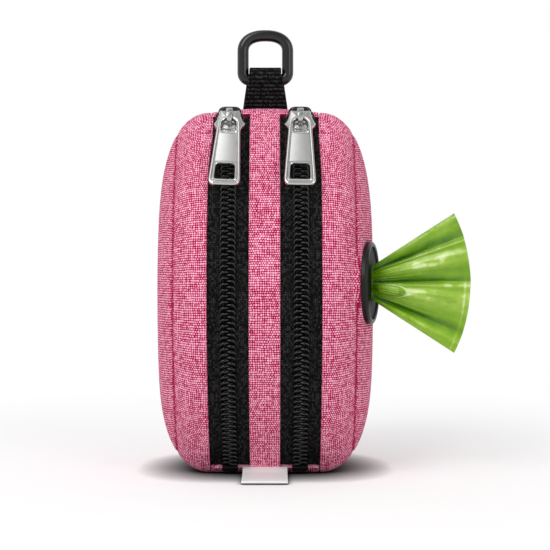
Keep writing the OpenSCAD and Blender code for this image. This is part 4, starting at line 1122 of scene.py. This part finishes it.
def label_tab():
    """White ribbon folded at its front end, two layers."""
    low, high = box_mm("label_tab")
    root = np.array([TRACK_Y - TRACK_R * math.cos(math.radians(SEAM_A)),
                     MID_Z - TRACK_R * math.sin(math.radians(SEAM_A))])
    tip = low.y
    top = [root + [-0.2, 0.35], root + [-1.2, 0.3], [root[0] - 3.0, 1.75], [root[0] - 5.0, 1.28], [root[0] - 9, 1.2],
           [tip + 3, 1.2], [tip + 0.5, 1.14], [tip + 0.1, 0.95], [tip, 0.75]]
    under = [[tip, 0.62], [tip + 0.15, 0.42], [tip + 0.6, 0.3], [tip + 3, 0.3], [root[0] - 9, 0.32],
             [root[0] - 4.5, 0.5], [root[0] - 1.8, 1.2], root + [0, 0]]
    path = np.array([list(p) for p in top + under])
    width = high.x - low.x
    xs = np.linspace(low.x, high.x, 17)
    rings = []
    for x in xs:
        soft = 0.12 * (1 - abs(2 * (x - low.x) / width - 1) ** 8)
        p = path.copy()
        p[:len(top), 1] -= 0.12 - soft
        along = unit(np.gradient(p, axis=0))
        inner = p + np.c_[-along[:, 1], along[:, 0]] * 0.28
        rings.append(np.c_[np.full(2 * len(p), x), np.concatenate([p, inner[::-1]])])
    points, faces = loft(rings, cap_start=True, cap_end=True)
    gaps = np.linalg.norm(np.diff(path, axis=0), axis=1)
    run_mm = np.concatenate([[0], np.cumsum(gaps)])
    uv = np.c_[points[:, 0], np.tile(np.concatenate([run_mm, run_mm[::-1]]), len(xs))]
    piece = add_piece("label_ribbon", points, faces, M["ribbon"], "centre", ["label_tab"],
                      weave=uv, sharp=50)


webbing()
hanging_ring()
label_tab()


# ---------------------------------------------------------------- grommet, film, roll

def lathe(profile, steps=96):
    """Closed section of (radius, height) turned round the grommet's axis."""
    a = np.linspace(0, 2 * np.pi, steps, endpoint=False)
    profile = np.asarray(profile, float)
    rings = []
    for t in a:
        rings.append(np.c_[profile[:, 0] * math.cos(t), profile[:, 0] * math.sin(t), profile[:, 1]])
    rings.append(rings[0])
    points, faces = loft(rings)
    k = steps * len(profile)
    return points[:k], [tuple(i - k if i >= k else i for i in f) for f in faces]


def grommet():
    bore, pocket = BARREL_R - 0.9, DISC_R + 0.08
    r = 1.05
    bead = [(FLANGE_R - r + r * math.cos(a), FLANGE_H - r + r * math.sin(a)) for a in np.radians(np.arange(-25, 91, 11.5))]
    profile = [(bore, -5.6), (BARREL_R, -5.6), (BARREL_R, 0.02), (FLANGE_R - 0.25, 0.02), (FLANGE_R - 0.05, 0.2)] + bead + \
        [(pocket + 0.35, FLANGE_H - 0.06), (pocket + 0.1, FLANGE_H - 0.2), (pocket, FLANGE_H - 0.5), (pocket, 0.4), (bore, 0.4)]
    points, faces = lathe(profile)
    add_piece("grommet_moulding", at_grommet(points), faces, M["grommet"], "right_shell",
              ["grommet_flange"], sharp=40)
    slot_half, slot_w = 7.5 + 0.35, 0.6
    rows = []
    radii = [0.62, 0.8, 1.0]
    a = np.linspace(0, 2 * np.pi, 96, endpoint=False)
    slot = np.c_[slot_half * np.sign(np.cos(a)) * np.abs(np.cos(a)) ** 0.6,
                 slot_w * np.sign(np.sin(a)) * np.abs(np.sin(a)) ** 0.6]
    rim_at = np.c_[DISC_R * np.cos(a), DISC_R * np.sin(a)]
    z_low, z_high = 0.4, 1.5

    def level(share, z):
        return np.c_[slot + (rim_at - slot) * share, np.full(96, z)]

    rings = [level(0, z_low), level(0, z_high - 0.15), level(0.02, z_high), level(0.3, z_high - 0.05),
             level(0.6, z_high), level(0.93, z_high), level(0.985, z_high - 0.12), level(1, z_high - 0.35), level(1, z_low)]
    rings.append(rings[0])
    points, faces = loft(rings)
    k = 96 * (len(rings) - 1)
    add_piece("grommet_rubber", at_grommet(points[:k]), [tuple(i - k if i >= k else i for i in f) for f in faces],
              M["rubber"], "right_shell", ["grommet_disc"], sharp=40)


NECK_W, FAN_L, FAN_CORNER, FAN_A = 15.0, 36.0, 3.2, 40.0
FAN_ROOT = DISC_R / 6
ROLL_R, ROLL_L, CORE_R = 13.0, 58.0, 5.4


def film_fan():
    """First bag: folds out of the slot, spread into a fan, and a gathered strand back to the roll."""
    folds = np.array([(-40, 0.2), (-35, 0.35), (-31.5, -0.6), (-29, -1.0), (-25.5, -0.15), (-20, 0.35), (-14, 0.8),
                      (-9, 0.95), (-5, 0.45), (-2, 0.6), (0.8, -1.0), (4, -0.45), (9, 0.3), (13.5, 1.0), (18, 0.9),
                      (22, 0.35), (24.8, 0.75), (26.5, -1.0), (29, -0.6), (33, 0.15), (37, 0.6), (40, 0.3)])
    columns, more = ((281, 90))
    angle = np.linspace(-FAN_A, FAN_A, columns)
    kernel = np.hanning(columns // 24 | 1)
    padded = np.pad(np.interp(angle, folds[:, 0], folds[:, 1]), 12, mode="edge")
    fine = np.convolve(padded, kernel / kernel.sum(), "same")[12:-12]
    rows = np.concatenate([np.linspace(-1, 0, 12, endpoint=False), np.linspace(0, 1, more) ** 1.15])
    u = (angle + FAN_A) / (2 * FAN_A)
    a = np.radians(angle)
    reach = FAN_L - 1.2 + (FAN_CORNER - 0.3) * (2 * u - 1) ** 2 - FAN_ROOT
    neck = -0.8 * NECK_W / 2 * np.sin(a) / math.sin(math.radians(FAN_A))
    curl = np.clip(1 - ((angle + 10.5) / 8.5) ** 2, 0, 1)
    # facing: how each fold's flank turns towards the key lamp, used below to paint lit flanks lighter and turned-away
    # flanks darker: painted light and shade.
    facing = np.clip(-2.2 * np.gradient(fine, angle), -1, 1)
    front, uv = [], []
    for f in rows:
        if f < 0:
            x = neck * (0.98 + 0.02 * f)
            z = np.full(columns, FAN_ROOT + f * (FAN_ROOT + 5.6))
            y = 0.18 * np.sin(angle * 1.9)
            # Painted shade on the strand inside the slot.
            tone = np.full(columns, -0.4)
        else:
            x = neck + (-reach * np.sin(a) * 1.02 - neck) * f
            z = FAN_ROOT + reach * np.cos(a) * f
            swell = np.interp(f, [0, 0.08, 0.3, 0.6, 1], [0.12, 0.6, 1.7, 1.5, 0.9])
            pleat = np.interp(f, [0, 0.1, 0.35, 0.7, 1], [0.12, 0.12, 0.03, 0.01, 0.0])
            lip = 0.10 + 0.27 * curl ** 0.5
            lap = 0.9 * curl ** 0.5 * np.clip((lip - f) / 0.02, 0, 1) * min(f / 0.06, 1)
            hem = 0.12 * math.exp(-((f - 0.945) / 0.008) ** 2) * np.clip((6 - angle) / 6, 0, 1)
            y = -(swell * fine + pleat * np.sin(angle * 1.9 + 0.6 * np.sin(angle * 0.31)) + lap + hem)
            y = y + 0.10 * f * np.sin(angle * 0.9 + 9 * f)
            # The film's tone, kept in the third weave value, is painted light and shade: painted shade in fold
            # valleys, strongest near the neck; painted highlight on ridges and on flanks facing the lamp; a painted
            # highlight along the curl's lip with a painted shadow just inside it; a painted highlight on the hem
            # ridge; painted shade at the neck where the film leaves the slot.
            rim = np.exp(-((f - lip) / 0.014) ** 2) * (curl > 0.02)
            valley_shade = np.interp(f, [0, 0.3, 0.7, 1], [1.0, 0.9, 0.45, 0.15])
            tone = np.where(fine < 0, fine * valley_shade, fine * np.interp(f, [0, 0.2, 0.6, 1], [0.1, 0.25, 0.45, 0.25]))
            tone = tone + 0.45 * facing * np.interp(f, [0, 0.15, 0.6, 1], [0.3, 0.8, 1, 0.6])
            tone = tone + 1.3 * rim - 0.5 * curl * (np.abs(f - lip + 0.05) < 0.035) + 2.6 * hem - np.interp(f, [0, 0.12, 0.3], [0.4, 0.15, 0])
        front.append(np.c_[x, y, z])
        uv.append(np.c_[angle / FAN_A * 29, np.full(columns, f * 40.0), np.clip(tone, -1, 1)])
    front = np.array(front)
    thin = 0.07
    back = front + [0, thin, 0]
    rings = np.concatenate([front, back[:, ::-1]], axis=1)
    points, faces = loft(rings, cap_start=False, cap_end=False)
    n = rings.shape[1]
    for end in (0, len(rings) - 1):
        for i in range(columns - 1):
            quad = (end * n + i, end * n + i + 1, end * n + n - 2 - i, end * n + n - 1 - i)
            faces.append(quad[::-1] if end == 0 else quad)
    uv = np.array(uv)
    uv = np.concatenate([uv, uv[:, ::-1]], axis=1).reshape(-1, 3)
    film = add_piece("lead_bag_film", at_grommet(points), faces, M["film"], "lead_bag", ["lead_bag"],
                     weave=uv, sharp=75)


def roll():
    """Wound roll of bags, its turns showing at both ends."""
    low, high = box_mm("bag_roll")
    cx, cy = (low.x + high.x) / 2, (low.y + high.y) / 2
    a = np.linspace(0, 2 * np.pi, 96, endpoint=False)
    inner, outer = CORE_R, ROLL_R
    ends = []
    radii = np.concatenate([[inner], np.arange(inner + 0.2, outer - 0.35, 0.32), [outer - 0.2, outer]])
    wave = 0.12 * (np.arange(len(radii)) % 2)
    rings = []
    for k, rad in enumerate(radii):
        z = low.z + wave[k] + (0.25 if k == len(radii) - 1 else 0)
        rings.append(np.c_[cx + rad * np.cos(a), cy + rad * np.sin(a), np.full(96, z)])
    for share in (0.25, 0.5, 0.75):
        rings.append(np.c_[cx + (outer - 0.05 * math.sin(7 * share)) * np.cos(a), cy + outer * np.sin(a),
                           np.full(96, low.z + ROLL_L * share)])
    for k, rad in list(enumerate(radii))[::-1]:
        z = high.z - wave[k] - (0.25 if k == len(radii) - 1 else 0)
        rings.append(np.c_[cx + rad * np.cos(a), cy + rad * np.sin(a), np.full(96, z)])
    rings.append(rings[0])
    points, faces = loft(rings)
    k = 96 * (len(rings) - 1)
    points = points[:k]
    faces = [tuple(i - k if i >= k else i for i in f)[::-1] for f in faces]
    uv = np.c_[np.arctan2(points[:, 1] - cy, points[:, 0] - cx) * outer, points[:, 2]]
    add_piece("bag_roll_film", points, faces, M["film"], "roll", ["bag_roll"], weave=uv, sharp=40)


grommet()
film_fan()
roll()
for node, key in (("grommet_clamp", "grommet"), ("roll_core", "card")):
    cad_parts[node].data.materials.clear()
    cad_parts[node].data.materials.append(M[key])


# ---------------------------------------------------------------- camera, lights, floor

def area_light(name, place, target, size, power, color=(1, 1, 1)):
    data = bpy.data.lights.new(name, "AREA")
    data.shape = "RECTANGLE"
    data.size, data.size_y = size
    data.energy = power
    data.color = color
    lamp = bpy.data.objects.new(name, data)
    lamp.location = place
    lamp.rotation_euler = (Vector(target) - Vector(place)).to_track_quat("-Z", "Y").to_euler()
    bpy.context.scene.collection.objects.link(lamp)


AMBIENT, CEILING = 0.55, 0.5


def studio():
    data = bpy.data.cameras.new("camera")
    data.lens = 79.85
    data.sensor_width = 36
    data.clip_start, data.clip_end = 0.01, 20
    camera = bpy.data.objects.new("camera", data)
    camera.location = (0.0034, -0.430, 0.0682)
    camera.rotation_euler = (math.radians(90), 0, 0)
    bpy.context.scene.collection.objects.link(camera)
    bpy.context.scene.camera = camera

    g = Graph("floor", Roughness=0.9, Specular_IOR_Level=0.0)
    # Ambient occlusion darkens the floor's colour and its near glow round the pouch's foot: a painted contact shadow.
    ao_painted_shadow = g.node("AmbientOcclusion", {"Distance": 0.016}).outputs["AO"]
    tone = g.math("MULTIPLY", g.math("POWER", ao_painted_shadow, 1.4), 0.8)
    g.put(g.shader.inputs["Base Color"], g.node("CombineXYZ", {0: tone, 1: tone, 2: tone}).outputs[0])
    rays = g.node("LightPath")
    seen = g.math("MAXIMUM", g.math("MAXIMUM", rays.outputs["Is Camera Ray"], rays.outputs["Is Glossy Ray"]),
                  rays.outputs["Is Transmission Ray"])
    away = g.node("VectorMath", {0: g.node("TexCoord").outputs["Object"]}, operation="LENGTH").outputs["Value"]
    near = g.node("Emission", {"Color": (1, 1, 1, 1), "Strength": g.math("MULTIPLY", g.math("MULTIPLY", seen, g.math("POWER", ao_painted_shadow, 3.0)), 0.3)})
    both = g.node("AddShader", {0: g.shader.outputs[0], 1: near.outputs[0]})
    plain = g.node("Emission", {"Color": (1, 1, 1, 1)})
    share = g.math("MULTIPLY", seen, g.steps(away, 0.10, 0.32))
    ground = g.node("MixShader", {0: share, 1: both.outputs[0], 2: plain.outputs[0]})
    g.tree.links.new(ground.outputs[0], g.tree.nodes["Material Output"].inputs[0])
    mesh = bpy.data.meshes.new("floor")
    s = 6.0
    mesh.from_pydata([(-s, -s, 0), (s, -s, 0), (s, s, 0), (-s, s, 0)], [], [(0, 1, 2, 3)])
    mesh.materials.append(g.material)
    floor = bpy.data.objects.new("floor", mesh)
    bpy.context.scene.collection.objects.link(floor)

    world = bpy.data.worlds.new("studio")
    bpy.context.scene.world = world
    world.use_nodes = True
    sky = Graph.__new__(Graph)
    sky.tree = world.node_tree
    rays = sky.node("LightPath")
    mirrored = sky.math("MAXIMUM", rays.outputs["Is Glossy Ray"], rays.outputs["Is Transmission Ray"])
    way = sky.node("SeparateXYZ", {0: sky.node("TexCoord").outputs["Generated"]}).outputs
    overhead = sky.math("MULTIPLY", sky.steps(way[2], 0.25, 0.8), sky.steps(way[1], 0.5, -0.1))
    facing = sky.math("MULTIPLY", sky.steps(way[1], -0.15, -0.6), 0.6)
    backdrop = sky.math("MULTIPLY_ADD", sky.math("MAXIMUM", overhead, facing), CEILING - 1.0, 1.0)
    level = sky.lerp(mirrored, AMBIENT, backdrop)
    level = sky.lerp(rays.outputs["Is Camera Ray"], level, 1.0)
    sky.put(sky.tree.nodes["Background"].inputs["Strength"], level)
    sky.put(sky.tree.nodes["Background"].inputs["Color"], (1, 1, 1))

    target = (0.0, 0.0, 0.065)
    area_light("key", (-0.75, -1.1, 1.05), target, (0.7, 0.9), 9.0)
    area_light("fill", (0.95, -1.0, 0.55), target, (0.6, 0.9), 3.6)
    area_light("top", (-0.36, -0.42, 1.15), target, (0.40, 0.8), 1.7)


studio()
scene = bpy.context.scene
scene.view_settings.view_transform = "Standard"
